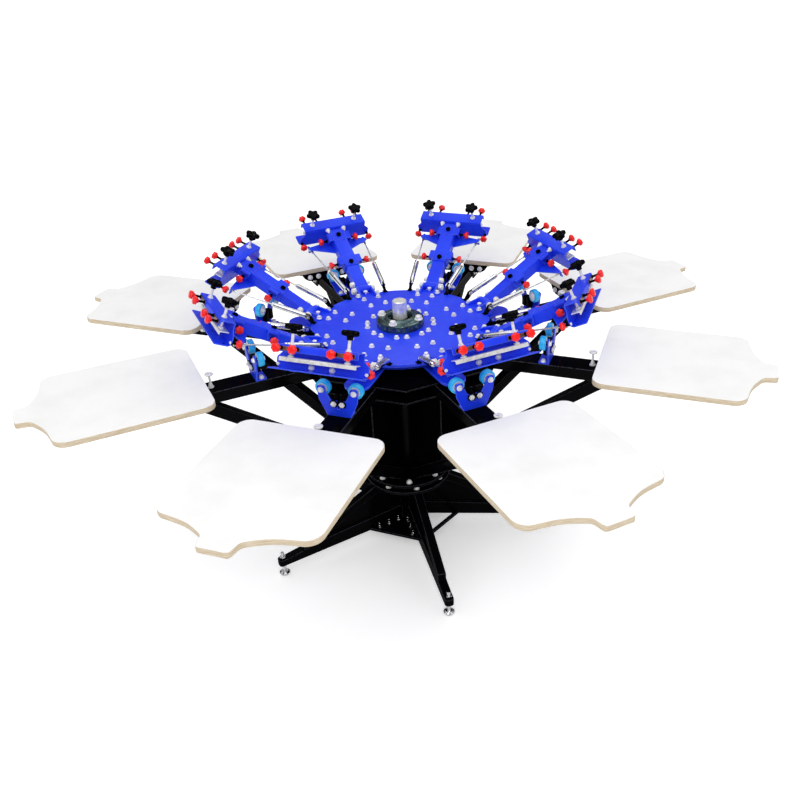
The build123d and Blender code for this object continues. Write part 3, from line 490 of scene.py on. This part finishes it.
# ---- the frame's large parts --------------------------------------------------------------
dress("stand_frame", BLACK, BLACK_EDGE_HIGHLIGHT_AND_WEAR, edge=1.2)
dress("levelling_feet", CHROME)
dress("center_shaft", SHAFT)
dress("carousel_hub", BLACK, BLACK_EDGE_HIGHLIGHT_AND_WEAR, edge=1.0)
dress("board_arms", BLACK, BLACK_EDGE_HIGHLIGHT_AND_WEAR, edge=2.0)
dress("print_boards", BOARD, BOARD, edge=1.6)
dress("print_disc", BLUE, BLUE_EDGE_HIGHLIGHT_AND_WEAR, edge=1.0)
for k in AROUND:
    dress(f"head_{k}_arm", BLUE, BLUE_EDGE_HIGHLIGHT_AND_WEAR, edge=1.2)


# ---- fasteners of the stand and the carousel ----------------------------------------------
LEGS, FIRST_LEG = 5, -78.7
BASE_TOP = 50.0                      # upper face of the base plates between the legs
STUD_U, STUD_V = (70, 112, 154), 26
OPEN_BAY = ((0, 1), (1, -1))         # sides of two legs that have no base plate
STAND_FLANGE_TOP, HUB_FLANGE_TOP = 245.0, 275.0
FLANGE_U = 138.0                     # radius of both circles of flange bolts


def stand_studs():
    """Bright studs and nuts through the base plates, along both sides of the legs."""
    shape = Shape()
    for leg in range(LEGS):
        for side in (1, -1):
            if (leg, side) in OPEN_BAY:
                continue
            for u in STUD_U:
                at = turn(FIRST_LEG + leg * 360 / LEGS) @ move(u, side * STUD_V, BASE_TOP)
                shape.loft(at, [(-6, 4), (19, 4), (20, 3)], 16)
                hex_bolt(shape, at, 13, 8)
    return shape


def flange_bolts(top, start):
    """Bolts round a flange whose upper face is at that height, from a first angle on."""
    shape = Shape()
    for k in AROUND:
        at = turn(start + k * STEP) @ move(FLANGE_U, 0, top)
        hex_bolt(shape, at, 15, 9)
        shape.loft(at, [(-14, 5), (12.5, 5), (13.5, 4)], 16)
    return shape


studs = finished(stand_studs(), "stand_studs", CHROME)
stand_bolts = finished(flange_bolts(STAND_FLANGE_TOP, 11), "stand_flange_bolts", ZINC)
hub_bolts = finished(flange_bolts(HUB_FLANGE_TOP, 0), "hub_flange_bolts", ZINC)
put("stand_studs", studs, CENTRE, "stand")
put("stand_flange_bolts", stand_bolts, CENTRE, "stand")
put("hub_flange_bolts", hub_bolts, CENTRE, "board_carousel")


# ---- under the boards ---------------------------------------------------------------------
SADDLE_U = (810, 1010)
SADDLE_Z, SHEET = 818.0, 4.0         # lower face and thickness of the plates under a board
APRON_U = 706.0
LOCK_U = 674.0


def bracket_shape():
    """Saddles with cheeks down both sides of the arm, and an apron under the board's inner end."""
    shape = Shape()
    for u in SADDLE_U:
        shape.prism(move(u, 0, SADDLE_Z), slab(-75, 75, -95, 95, 18), 0, SHEET)
        for side in (1, -1):
            cheek = rounded([(-55, -SADDLE_Z), (55, -SADDLE_Z), (55, -733), (-55, -733)], [0, 0, 16, 16])
            shape.prism(beside(side * 42, u), cheek, -SHEET / 2, SHEET / 2)
    shape.prism(move(0, 0, SADDLE_Z), slab(702, 734, -132, 132, 12), 0, SHEET)
    apron = mirrored([(122, SADDLE_Z), (110, 799), (92, 787), (62, ARM_TOP)], [0, 14, 14, 8])
    shape.prism(across(APRON_U), apron, 0, SHEET)
    return shape


def bracket_bolts():
    """Bolts through the saddles' cheeks and along the apron."""
    shape = Shape()
    for u in SADDLE_U:
        for side in (1, -1):
            for offset in (-32, 32):
                hex_bolt(shape, aim((u + offset, side * 44, 760), (0, side, 0)), 16, 8)
    for v in (-88, -52, 52, 88):
        hex_bolt(shape, aim((APRON_U, v, 803), (-1, 0, 0)), 15, 7)
    return shape


def lock_bolt():
    """Thumb bolt with a round dished head that locks a board's bracket on its arm."""
    shape = Shape()
    at = move(LOCK_U, 0, ARM_TOP)
    hex_bolt(shape, at, 14, 8)
    shape.loft(at, [(9, 5.5), (13, 6), (17, 3.8)], 20)
    shape.loft(at, [(0, 3.2), (38, 3.2), (40, 5), (45, 13), (47.5, 13.8), (49.4, 12.8),
                    (50.2, 9.8), (49.6, 8.8)], 32)
    return shape


bracket = finished(bracket_shape(), "board_bracket", BLACK, BLACK_EDGE_HIGHLIGHT_AND_WEAR)
bracket_bolt = finished(bracket_bolts(), "bracket_bolts", ZINC)
lock = finished(lock_bolt(), "lock_bolt", ZINC)
for k in AROUND:
    at = station(k)
    put(f"station_{k}_brackets", bracket, at, "board_carousel", ["board_brackets"], 1.0)
    put(f"station_{k}_bracket_bolts", bracket_bolt, at, "board_carousel")
    put(f"station_{k}_lock_bolt", lock, at, "board_carousel", ["board_brackets"])


# ---- registration gates -------------------------------------------------------------------
GATE_U, GATE_THICK = 531.0, 5.0
WHEEL_V, WHEEL_Z = 53.0, 870.0
WHEEL_WIDTH, WHEEL_GAP = 19.4, 4.8   # the gap is between a wheel and its gate
STOP_V, STOP_Z = 13.5, 829.0


def on_axle(side, offset, direction=1):
    """Frame on a wheel's axle, at that offset from the gate's inner face."""
    return aim((GATE_U + offset, side * WHEEL_V, WHEEL_Z), (direction, 0, 0))


def on_stop(side, offset):
    """Frame on a stop bolt, at that offset from the gate's outer face."""
    return aim((GATE_U + GATE_THICK + offset, side * STOP_V, STOP_Z), (1, 0, 0))


def gate_shape():
    """Forked plate with round tips and a bolted foot."""
    shape = Shape()
    half = [(38, ARM_TOP), (63, 838), (66, 870), (66, 883), (40, 883), (40, 870), (24, 838), (3, 838),
            (3, 810)]
    fork = mirrored(half, [3, 22, 0, 13, 13, 6, 8, 3, 2.9])
    shape.prism(across(GATE_U), fork, 0, GATE_THICK)
    front, back = GATE_U + 2, GATE_U - 32
    foot = rounded([(front, -38), (back, -38), (back, 38), (front, 38)], [0, 5, 5, 0])
    shape.prism(move(0, 0, ARM_TOP), foot[::-1], 0, GATE_THICK)
    return shape


def gate_fittings():
    """Black stop blocks behind the notch, stop washers, and spacers between plate and wheels."""
    shape = Shape()
    for side in (1, -1):
        flat_washer(shape, on_axle(side, -30), 8, 25.5, 30, 20)
        block = [(side * 5, 810), (side * 22, 810), (side * 22, 840), (side * 14, 849.6), (side * 5, 849.6)]
        shape.prism(across(GATE_U), block if side > 0 else block[::-1], -20, 0)
        shape.loft(on_stop(side, 0), [(0, 12.6), (2.4, 12.6), (3, 12)], 32)
    return shape


def gate_chrome():
    """Axle bolts, stop bolts and the foot's bolts."""
    shape = Shape()
    for side in (1, -1):
        cap_bolt(shape, on_axle(side, -25, -1), 7, 5)
        shape.loft(on_axle(side, -30), [(2, 4), (36, 4)], 16)
        hex_bolt(shape, on_axle(side, GATE_THICK), 13, 6)
        stop = on_stop(side, 3)
        hex_bolt(shape, stop, 16, 5, washer=False)
        shape.loft(stop, [(0, 4), (8, 4), (8.8, 3)], 16)
        hex_bolt(shape, aim((GATE_U - 16, side * 28, 790), (0, 0, 1)), 13, 7)
    return shape


def tyre_shape():
    """Ring with rounded shoulders."""
    half = [(0, 17), (0, 21), (0.8, 22.8), (2.6, 24)]
    return Shape().loft(CENTRE, half + [(WHEEL_WIDTH - z, r) for z, r in reversed(half)], 48, loop=True)


def hub_shape():
    """Nylon hub with a boss, a shallow dish round it and a rim."""
    half = [(0, 4.1), (0, 7.2), (0.4, 7.8), (1.6, 8.4), (1.6, 12.2), (0.7, 13), (0.4, 13.6), (0.4, 17)]
    return Shape().loft(CENTRE, half + [(WHEEL_WIDTH - z, r) for z, r in reversed(half)], 40, loop=True)


gate = finished(gate_shape(), "gate_plate", BLUE, BLUE_EDGE_HIGHLIGHT_AND_WEAR)
gate_black = finished(gate_fittings(), "gate_fittings", FITTING)
gate_bright = finished(gate_chrome(), "gate_bolts", ZINC)
tyre = finished(tyre_shape(), "gate_tyre", TYRE)
hub = finished(hub_shape(), "gate_wheel_hub", HUB_WHITE)
for k in AROUND:
    at = station(k)
    put(f"gate_{k}_plate", gate, at, "board_carousel", ["registration_gates"], 0.9)
    put(f"gate_{k}_fittings", gate_black, at, "board_carousel", ["registration_gates"], 0.6)
    put(f"gate_{k}_bolts", gate_bright, at, "board_carousel", ["registration_gates"])
    for side, name in ((1, "left"), (-1, "right")):
        node = f"gate_{k}_wheel_{name}"
        spot = at @ on_axle(side, -WHEEL_GAP - WHEEL_WIDTH)
        put(f"{node}_tyre", tyre, spot, node, [node])
        put(f"{node}_hub", hub, spot, node, [node])


# ---- print carousel -----------------------------------------------------------------------
DISC_BOLTS = ((116, 14), (197, 8.5), (263, 6.2))    # radius, and angle either side of a head
HINGE_V, HINGE_THICK = 24.5, 6.0     # an ear's inner face and thickness
HINGE_FOOT_TOP = 857.0
COLLAR_TOP = 880.0


def disc_bolt_shape():
    """Hexagon bolts on the disc, each turned a little differently."""
    shape = Shape()
    for k in AROUND:
        for u, aside in DISC_BOLTS:
            for sign in (1, -1):
                at = station(k) @ turn(sign * aside) @ move(u, 0, DISC_TOP)
                hex_bolt(shape, at @ turn(7 * k * sign), 13, 8)
    return shape


def hinge_shape():
    """Ears of the tilt hinge with their bolted feet, and a saddle under the arm's root."""
    shape = Shape()
    ear = [(280, -DISC_TOP), (311, -DISC_TOP), (313, -820), (350, -820), (353, -852), (350, -864),
           (338, -876), (294, -865), (280, -858)]
    outer = HINGE_V + HINGE_THICK
    for side in (1, -1):
        start = HINGE_V if side > 0 else -outer
        shape.prism(beside(start), rounded(ear, [0, 0, 0, 5, 8, 9, 12, 8, 3]), 0, HINGE_THICK)
        y0, y1 = sorted((side * (outer - 1), side * (outer + 16)))
        shape.block(CENTRE, 280, 304, y0, y1, DISC_TOP, HINGE_FOOT_TOP)
    shape.block(CENTRE, 311, 322.5, -HINGE_V, HINGE_V, 820, 852)
    return shape


def hinge_chrome():
    """Tilt pin with stacked nuts and washers, the feet's bolts, and the saddle's stop bolt."""
    shape = Shape()
    pin = aim((PIN_U, 0, PIN_Z), (0, 1, 0))
    shape.loft(pin, [(-47, 6.5), (-46, 7.6), (46, 7.6), (47, 6.5)])
    for side in (1, -1):
        end = aim((PIN_U, side * (HINGE_V + HINGE_THICK), PIN_Z), (0, side, 0))
        flat_washer(shape, end, 12.6, 0, 2)
        nut(shape, end, 20, 2, 7.4)
        flat_washer(shape, end, 12.2, 7.4, 8.8)
        cap_nut(shape, end, 21, 8.8, 14, 15.2, 8)
        hex_bolt(shape, move(292, side * 38.5, HINGE_FOOT_TOP), 13, 8)
    stop = move(315, 0, 852)
    shape.loft(stop, [(0, 3), (9, 3)], 16)
    cap_nut(shape, stop, 14, 8, 12.5, 13.6, 5.5)
    return shape


def anchor_shape():
    """Black lugs on the rim that the lift springs fork over."""
    shape = Shape()
    lug = [(291, -DISC_TOP), (307, -DISC_TOP), (322, -869), (323, -879), (316, -884), (308, -882),
           (296, -863)]
    for side in (1, -1):
        shape.prism(beside(side * ANCHOR_V), rounded(lug, [0, 0, 5, 7, 7, 6, 3]), -3.2, 3.2)
        shape.block(move(0, side * ANCHOR_V, DISC_TOP), 290, 307, -8, 8, 0, 3.5)
    return shape


def collar_shape():
    """Flange bearing: a thick round dish with a raised ring about its recess."""
    rings = [(DISC_TOP, 25.1), (DISC_TOP, 81), (854, 82), (873, 82), (877.5, 80.4), (COLLAR_TOP, 77),
             (COLLAR_TOP, 57), (881, 56), (886.4, 52.2), (887, 51), (887, 44.5), (886, 43),
             (879, 40.5), (873, 39), (872, 37), (872, 25.1)]
    return Shape().loft(CENTRE, rings, 96, loop=True)


def seal_shape():
    """Black seal in the bearing's recess, close round the shaft."""
    rings = [(872, 25.4), (872, 36), (875, 36), (877.5, 32), (879, 27.5), (879, 25.4)]
    return Shape().loft(CENTRE, rings, 64, loop=True)


def collar_bolts():
    """Four large bolts on the bearing's flange."""
    shape = Shape()
    for quarter in range(4):
        hex_bolt(shape, turn(quarter * 90 + 67) @ move(68, 0, COLLAR_TOP), 20, 11)
    return shape


disc_bolts = finished(disc_bolt_shape(), "disc_bolt_heads", ZINC)
collar = finished(collar_shape(), "collar_ring", STEEL)
seal = finished(seal_shape(), "collar_seal", FITTING)
collar_bolt = finished(collar_bolts(), "collar_bolt_heads", ZINC)
put("disc_bolt_heads", disc_bolts, CENTRE, "print_carousel", ["disc_bolts"])
put("collar_ring", collar, CENTRE, "print_carousel", ["shaft_collar"])
put("collar_seal", seal, CENTRE, "print_carousel", ["shaft_collar"])
put("collar_bolt_heads", collar_bolt, CENTRE, "print_carousel", ["disc_bolts"])
ears = finished(hinge_shape(), "hinge_ears", BLUE, BLUE_EDGE_HIGHLIGHT_AND_WEAR)
pin = finished(hinge_chrome(), "hinge_pin", ZINC)
anchor = finished(anchor_shape(), "spring_anchor", FITTING)
for k in AROUND:
    at = station(k)
    put(f"hinge_{k}_ears", ears, at, "print_carousel", ["head_hinges"], 0.8)
    put(f"hinge_{k}_pin", pin, at, "print_carousel", ["head_hinges"])
    put(f"hinge_{k}_anchors", anchor, at, "print_carousel", ["head_hinges"], 0.6)


# ---- print heads --------------------------------------------------------------------------
EAR_S, UPPER_S = 146.0, 266.0        # middles of the two pairs of ears
EAR_V, EAR_SHEET = 46.0, 4.5         # an ear's outer face and thickness
EAR_HALF = 18.0                      # half an ear's length
SLEEVE_S, SLEEVE_V, SLEEVE_TOP = (118, 301), 28.5, 10.0
SOCKET_BOLT_S = (132, 270)
ROOT_S, ROOT_V, ROOT_Z = 34.0, 24.0, -4.0
FRONT_REACH, BACK_REACH, EAR_REACH = 22.0, 14.0, 16.0    # how far each kind of red knob stands off
# Below, X, V and Z are in the clamp's frame.
SHEET_STEEL = 3.0
CHANNEL_V, BAR_V = 125.0, 117.5
BAR_TOP, JAW_TOP = -35.0, -68.0
LIP_X, LIP_Z = 46.0, -10.0
STAR_X, STAR_V, STAR_Z = 25.0, 86.0, 36.0
WEB_BOLT_V = 32.0
FRONT_V = (58.0, 108.0, -58.0, -108.0)
BACK_V, BACK_Z = 136.0, -59.0


def channel_shape():
    """Sleeve and ears over the arm, and the folded channel that takes a screen frame's edge."""
    shape = Shape()
    sleeve = folded([(-SLEEVE_V, -30), (-SLEEVE_V, SLEEVE_TOP), (SLEEVE_V, SLEEVE_TOP),
                     (SLEEVE_V, -30)], -4.4, 6)
    shape.prism(across(), sleeve, *SLEEVE_S)
    for s in (EAR_S, UPPER_S):
        for side in (1, -1):
            ear = folded([(side * 27, SLEEVE_TOP), (side * EAR_V, SLEEVE_TOP), (side * EAR_V, -6)],
                         -side * EAR_SHEET, 6)
            shape.prism(across(), ear if side > 0 else ear[::-1], s - EAR_HALF, s + EAR_HALF)
            tab = rounded([(-EAR_HALF, 5.4), (EAR_HALF, 5.4), (11, -22), (-11, -22)], [0, 0, 8, 8])
            upright = aim((s, side * (EAR_V - EAR_SHEET / 2), 0), (0, -1, 0), side=(1, 0, 0))
            shape.prism(upright, tab, -EAR_SHEET / 2, EAR_SHEET / 2)
        shape.prism(move(s, 0, SLEEVE_TOP), slab(-22, 22, -26, 26, 5), -0.2, 1.6)
    top = folded([(-SHEET_STEEL, -9), (-SHEET_STEEL, 0), (LIP_X, 0), (LIP_X, -20)], -SHEET_STEEL, 5)
    shape.prism(CLAMP_SIDE, top, -CHANNEL_V, CHANNEL_V)
    half = [(CHANNEL_V, -8), (CHANNEL_V, -22), (142, -38), (142, -58), (136, JAW_TOP)]
    web = mirrored(half, [0, 6, 6, 6, 4], 3)
    shape.prism(CLAMP @ across(), web, -SHEET_STEEL, 0)
    jaw = [(-SHEET_STEEL, -132), (9, -144), (52, -144), (52, 144), (9, 144), (-SHEET_STEEL, 132)]
    shape.prism(CLAMP, rounded(jaw, [2, 4, 6, 6, 4, 2], 3), JAW_TOP - SHEET_STEEL, JAW_TOP)
    return shape


def bar_shape():
    """Aluminium angle that the star knobs press down on a screen frame."""
    angle = folded([(7, BAR_TOP), (37, BAR_TOP), (37, -47)], -SHEET_STEEL, 3.2)
    return Shape().prism(CLAMP_SIDE, angle, -BAR_V, BAR_V)


def star_shape():
    """Five-lobed hand knobs."""
    shape = Shape()
    star = lobed(17.5, 26, 5, 0.9)
    for side, turned in ((1, 20), (-1, -8)):
        at = CLAMP @ move(STAR_X, side * STAR_V, STAR_Z) @ turn(turned)
        shape.loft(at, [(-4, 5), (-4, 7.6), (-3, 8.6), (6.2, 9.8), (7.6, scaled(star, 0.72)),
                        (9.4, scaled(star, 0.93)), (12, star), (18, star), (21.5, scaled(star, 0.95)),
                        (23.6, scaled(star, 0.8)), (24, scaled(star, 0.55)), (23.4, 6), (22.8, 3)], 60)
    return shape


def stud_shape():
    """Bright studs and nuts under the star knobs, and the channel's bolts."""
    shape = Shape()
    for side in (1, -1):
        at = CLAMP @ move(STAR_X, side * STAR_V, 0)
        shape.loft(at, [(BAR_TOP, 4.6), (33, 4.6)], 16)
        hex_bolt(shape, at, 13, 5)
        shape.loft(at, [(BAR_TOP, 9), (-30, 9), (-29, 5)], 20)
    for side in (1, -1):
        bolt = CLAMP @ aim((-SHEET_STEEL, side * WEB_BOLT_V, -12), (-1, 0, 0))
        hex_bolt(shape, bolt, 13, 8)
        shape.loft(bolt, [(0, 3.5), (15, 3.5), (16, 2.6)], 16)
    for side in (1, -1):
        hex_bolt(shape, CLAMP @ aim((0, side * BACK_V, BACK_Z), (1, 0, 0)), 9, 4, washer=False)
    return shape


def web_bolts():
    """Round-headed bolts through the web that clamp the sleeve behind it."""
    shape = Shape()
    for side in (1, -1):
        dome(shape, CLAMP @ aim((0, side * WEB_BOLT_V, -59), (1, 0, 0)), 9.5, 8)
    return shape


def strip_shape():
    """Thin strips that join each pair of front screws under the lip."""
    shape = Shape()
    for side in (1, -1):
        y0, y1 = sorted((side * 50, side * 116))
        shape.block(CLAMP, LIP_X, LIP_X + 2, y0, y1, -17, -5)
    return shape


def root_shape():
    """Nuts on the cross bolt through the arm's root."""
    shape = Shape()
    for side in (1, -1):
        end = aim((ROOT_S, side * ROOT_V, ROOT_Z), (0, side, 0))
        flat_washer(shape, end, 10.5, 0, 2)
        nut(shape, end, 17, 2, 8)
        flat_washer(shape, end, 9.8, 8, 9.4)
        cap_nut(shape, end, 17, 9.4, 14, 15.2, 6.5)
    return shape


def knob_places():
    """Frame at each red knob's seat, with Z pointing out along its screw, and the screw's reach."""
    for v in FRONT_V:
        yield CLAMP @ aim((LIP_X, v, LIP_Z), (1, 0, 0)), FRONT_REACH
    for side in (1, -1):
        yield CLAMP @ aim((-SHEET_STEEL, side * BACK_V, BACK_Z), (-1, 0, 0)), BACK_REACH
        for s in (EAR_S, UPPER_S):
            yield aim((s, side * EAR_V, -11), (0, side, 0)), EAR_REACH


def red_shape():
    """Lobed red screw knobs, tapered to their shanks, each turned a little differently."""
    shape = Shape()
    grip = lobed(11.6, 13.8, 6, 0.8)
    for i, (at, reach) in enumerate(knob_places()):
        here = at @ move(0, 0, reach) @ turn(13 * i)
        shape.loft(here, [(-1, 5.8), (0, 6.8), (4, 9.4), (6, scaled(grip, 0.94)), (8, grip),
                          (13.5, grip), (16, scaled(grip, 0.9)), (17.4, scaled(grip, 0.62)), (17.6, 2)], 48)
    return shape


def shank_shape():
    """Black screws and collars of the knobs, the sleeve's socket bolts, and the jaw's screws."""
    shape = Shape()
    for at, reach in knob_places():
        shape.loft(at, [(-6, 3), (0, 3), (0, 6), (4, 6), (4.6, 4), (reach - 1, 4), (reach + 0.5, 5.2)], 16)
    for s in SOCKET_BOLT_S:
        cap_bolt(shape, move(s, 0, SLEEVE_TOP), 9, 8)
    for x, v in ((26, 32), (26, -32), (18, 130), (18, -130)):
        shape.loft(CLAMP @ move(x, v, JAW_TOP), [(-0.4, 3.6), (0.3, 3.6), (0.3, 2)], 16)
    return shape


channel = finished(channel_shape(), "clamp_channel", BLUE, BLUE_EDGE_HIGHLIGHT_AND_WEAR)
bar = finished(bar_shape(), "clamp_bar", ALUMINIUM)
star = finished(star_shape(), "star_knobs", KNOB_BLACK, smooth=50)
stud = finished(stud_shape(), "clamp_studs", ZINC)
strip = finished(strip_shape(), "screw_strips", BRONZE)
red = finished(red_shape(), "red_knobs", RED, smooth=50)
shank = finished(shank_shape(), "knob_shanks", FITTING)
root = finished(root_shape(), "root_nuts", ZINC)
web_bolt = finished(web_bolts(), "web_bolts", ZINC)
for k in AROUND:
    at, body = station(k) @ HEAD, f"print_head_{k}"
    clamp_node, knob_node = f"head_{k}_clamp", f"head_{k}_knobs"
    put(f"head_{k}_channel", channel, at, body, [clamp_node], 0.7)
    put(f"head_{k}_bar", bar, at, body, [clamp_node], 0.5)
    put(f"head_{k}_screw_strips", strip, at, body, (), 0.3)
    put(f"head_{k}_star_knobs", star, at, body, [knob_node])
    put(f"head_{k}_studs", stud, at, body, [knob_node])
    put(f"head_{k}_web_bolts", web_bolt, at, body)
    put(f"head_{k}_root_nuts", root, at, body)
    put(f"head_{k}_red_knobs", red, at, body, [knob_node])
    put(f"head_{k}_shanks", shank, at, body, [knob_node])


# ---- lift springs -------------------------------------------------------------------------
WING_S, WING_V, WING_Z = 263.0, 112.0, -43.0    # where a spring's rod passes its wing
TUBE_END = 126.5


def spring_line(side):
    """Frame at a lift spring's foot, with Z towards the wing, and the distance to the wing."""
    tilt = radians(RAISED)
    back, rise = ANCHOR_U - PIN_U, ANCHOR_Z - PIN_Z
    foot = Vector((back * cos(tilt) + rise * sin(tilt), side * ANCHOR_V,
                   -back * sin(tilt) + rise * cos(tilt)))
    tip = Vector((WING_S, side * WING_V, WING_Z))
    return aim(foot, tip - foot, side=(0, 1, 0)), (tip - foot).length


def spring_chrome():
    """Plated tubes, with the forks at their feet, thin rods and their nuts."""
    shape = Shape()
    prong = rounded([(6.5, -6.5), (6.5, 6.5), (-12, 6.5), (-12, -6.5)], [6, 6, 0, 0])
    for side in (1, -1):
        at, reach = spring_line(side)
        through = at @ turn(90, "Y")
        for start in (3.8, -7.2):
            shape.prism(through, prong, start, start + 3.4)
        shape.loft(through, [(-9, 2.6), (-8.4, 3.6), (8.4, 3.6), (9, 2.6)], 16)
        shape.loft(at, [(10, 5), (10, 8), (11.2, 9.2), (124, 9.2), (TUBE_END, 8.2), (TUBE_END, 4)], 32)
        cap_nut(shape, at, 14.5, 127.4, 135, 136.4, 5)
        shape.loft(at, [(136, 2.6), (reach + 22, 2.6)], 12)
        nut(shape, at, 10, reach + 14, reach + 20)
        flat_washer(shape, at, 4.4, reach - 20, reach - 14, 16)
    return shape


def spring_black():
    """Bushes in the ends of the lift springs' tubes."""
    shape = Shape()
    for side in (1, -1):
        at, _ = spring_line(side)
        shape.loft(at, [(8.8, 4), (8.8, 6.6), (9.4, 7.4), (10.4, 7.4), (10.4, 4)])
        shape.loft(at, [(126, 4), (126, 7.4), (127, 7.4), (127.4, 4)])
    return shape


bright = finished(spring_chrome(), "spring_tubes", CHROME)
dark = finished(spring_black(), "spring_ends", FITTING)
for k in AROUND:
    at, body, node = station(k) @ HEAD, f"lift_springs_{k}", f"head_{k}_springs"
    put(f"{body}_tubes", bright, at, body, [node])
    put(f"{body}_ends", dark, at, body, [node])


# ---- floor, light and camera --------------------------------------------------------------
FLOOR_RADIUS = 45
FLOOR_GLOW = 0.36
SKY = 0.84
HORIZON, ZENITH = (0.56, 0.14), (0.8, 1.0)    # height and brightness of the sky that gloss mirrors
LAMP_TARGET = Vector((0, 0, 0.8))
LAMPS = (                            # name, place, size, watts
    ("key", (-1.6, -2.6, 4.6), 3.2, 34),
    ("rim", (2.2, 1.6, 4.4), 2.6, 20),
    ("back", (0.15, 5.0, 4.0), 0.9, 6),
    ("flash", (0.5, -3.2, 3.0), 0.5, 14),
)
EYE = Vector((-0.0411, -2.70112, 2.08224))
BEARING, DROP, ROLL = 0.0717796, 0.518406, -0.024502    # radians


def white_stage():
    """Pale floor that keeps the shadow and reads as white paper."""
    floor = bpy.data.objects.new("floor", bpy.data.meshes.new("floor"))
    bm = bmesh.new()
    bmesh.ops.create_circle(bm, cap_ends=True, segments=96, radius=FLOOR_RADIUS)
    bm.to_mesh(floor.data)
    bm.free()
    bpy.context.scene.collection.objects.link(floor)
    f = Finish("white_floor", Roughness=0.9)
    f.shader.inputs["Specular IOR Level"].default_value = 0.0
    f.colour(f.mix(f.levels(f.noise(3), 0.3, 0.7), srgb(250, 250, 250), srgb(248, 248, 248)))
    glow = f.add("ShaderNodeEmission")
    rays = f.add("ShaderNodeLightPath")
    seen = f.add("ShaderNodeMath", operation="MULTIPLY")
    f.link(rays.outputs["Is Camera Ray"], seen.inputs[0])
    seen.inputs[1].default_value = FLOOR_GLOW
    f.link(seen.outputs[0], glow.inputs["Strength"])
    both = f.add("ShaderNodeAddShader")
    f.link(f.shader.outputs[0], both.inputs[0]).link(glow.outputs[0], both.inputs[1])
    f.link(both.outputs[0], f.tree.nodes["Material Output"].inputs["Surface"])
    floor.data.materials.append(f.material)


def studio():
    """An even white sky, soft lamps above, and small ones behind the press and beside the viewer."""
    world = bpy.data.worlds.new("studio")
    bpy.context.scene.world = world
    world.use_nodes = True
    tree = world.node_tree
    sky = tree.nodes["Background"]
    sky.inputs["Color"].default_value = (1, 1, 1, 1)
    rays = tree.nodes.new("ShaderNodeLightPath")
    place = tree.nodes.new("ShaderNodeTexCoord")
    height = tree.nodes.new("ShaderNodeSeparateXYZ")
    tree.links.new(place.outputs["Generated"], height.inputs[0])
    wall = tree.nodes.new("ShaderNodeMapRange")
    for name, value in (("From Min", HORIZON[0]), ("From Max", ZENITH[0]),
                        ("To Min", HORIZON[1]), ("To Max", ZENITH[1])):
        wall.inputs[name].default_value = value
    tree.links.new(height.outputs["Z"], wall.inputs["Value"])
    result = SKY
    for ray, strength in (("Is Glossy Ray", wall.outputs["Result"]), ("Is Camera Ray", 1.0)):
        pick = tree.nodes.new("ShaderNodeMix")
        tree.links.new(rays.outputs[ray], pick.inputs[0])
        for value, socket in ((result, pick.inputs[2]), (strength, pick.inputs[3])):
            if isinstance(value, float):
                socket.default_value = value
            else:
                tree.links.new(value, socket)
        result = pick.outputs[0]
    tree.links.new(result, sky.inputs["Strength"])
    for name, spot, size, watts in LAMPS:
        lamp = bpy.data.lights.new(name, "AREA")
        lamp.shape = "DISK"
        lamp.size = size
        lamp.energy = watts
        holder = bpy.data.objects.new(name, lamp)
        bpy.context.scene.collection.objects.link(holder)
        holder.location = spot
        holder.rotation_euler = (LAMP_TARGET - Vector(spot)).to_track_quat("-Z", "Y").to_euler()


def camera():
    """Camera above head height, 2.7 m from the shaft, looking down on the press."""
    ahead = Vector((sin(BEARING) * cos(DROP), cos(BEARING) * cos(DROP), -sin(DROP)))
    level = Vector((cos(BEARING), -sin(BEARING), 0))
    above = level.cross(ahead)
    right = level * cos(ROLL) + above * sin(ROLL)
    up = above * cos(ROLL) - level * sin(ROLL)
    lens = bpy.data.cameras.new("camera")
    lens.sensor_width = 36
    lens.lens = 38.09
    lens.shift_x = -0.0577
    lens.clip_end = 200
    holder = bpy.data.objects.new("camera", lens)
    bpy.context.scene.collection.objects.link(holder)
    holder.matrix_world = Matrix.Translation(EYE) @ Matrix((right, up, -ahead)).transposed().to_4x4()
    bpy.context.scene.camera = holder


white_stage()
studio()
camera()
bpy.context.scene.view_settings.view_transform = "Standard"
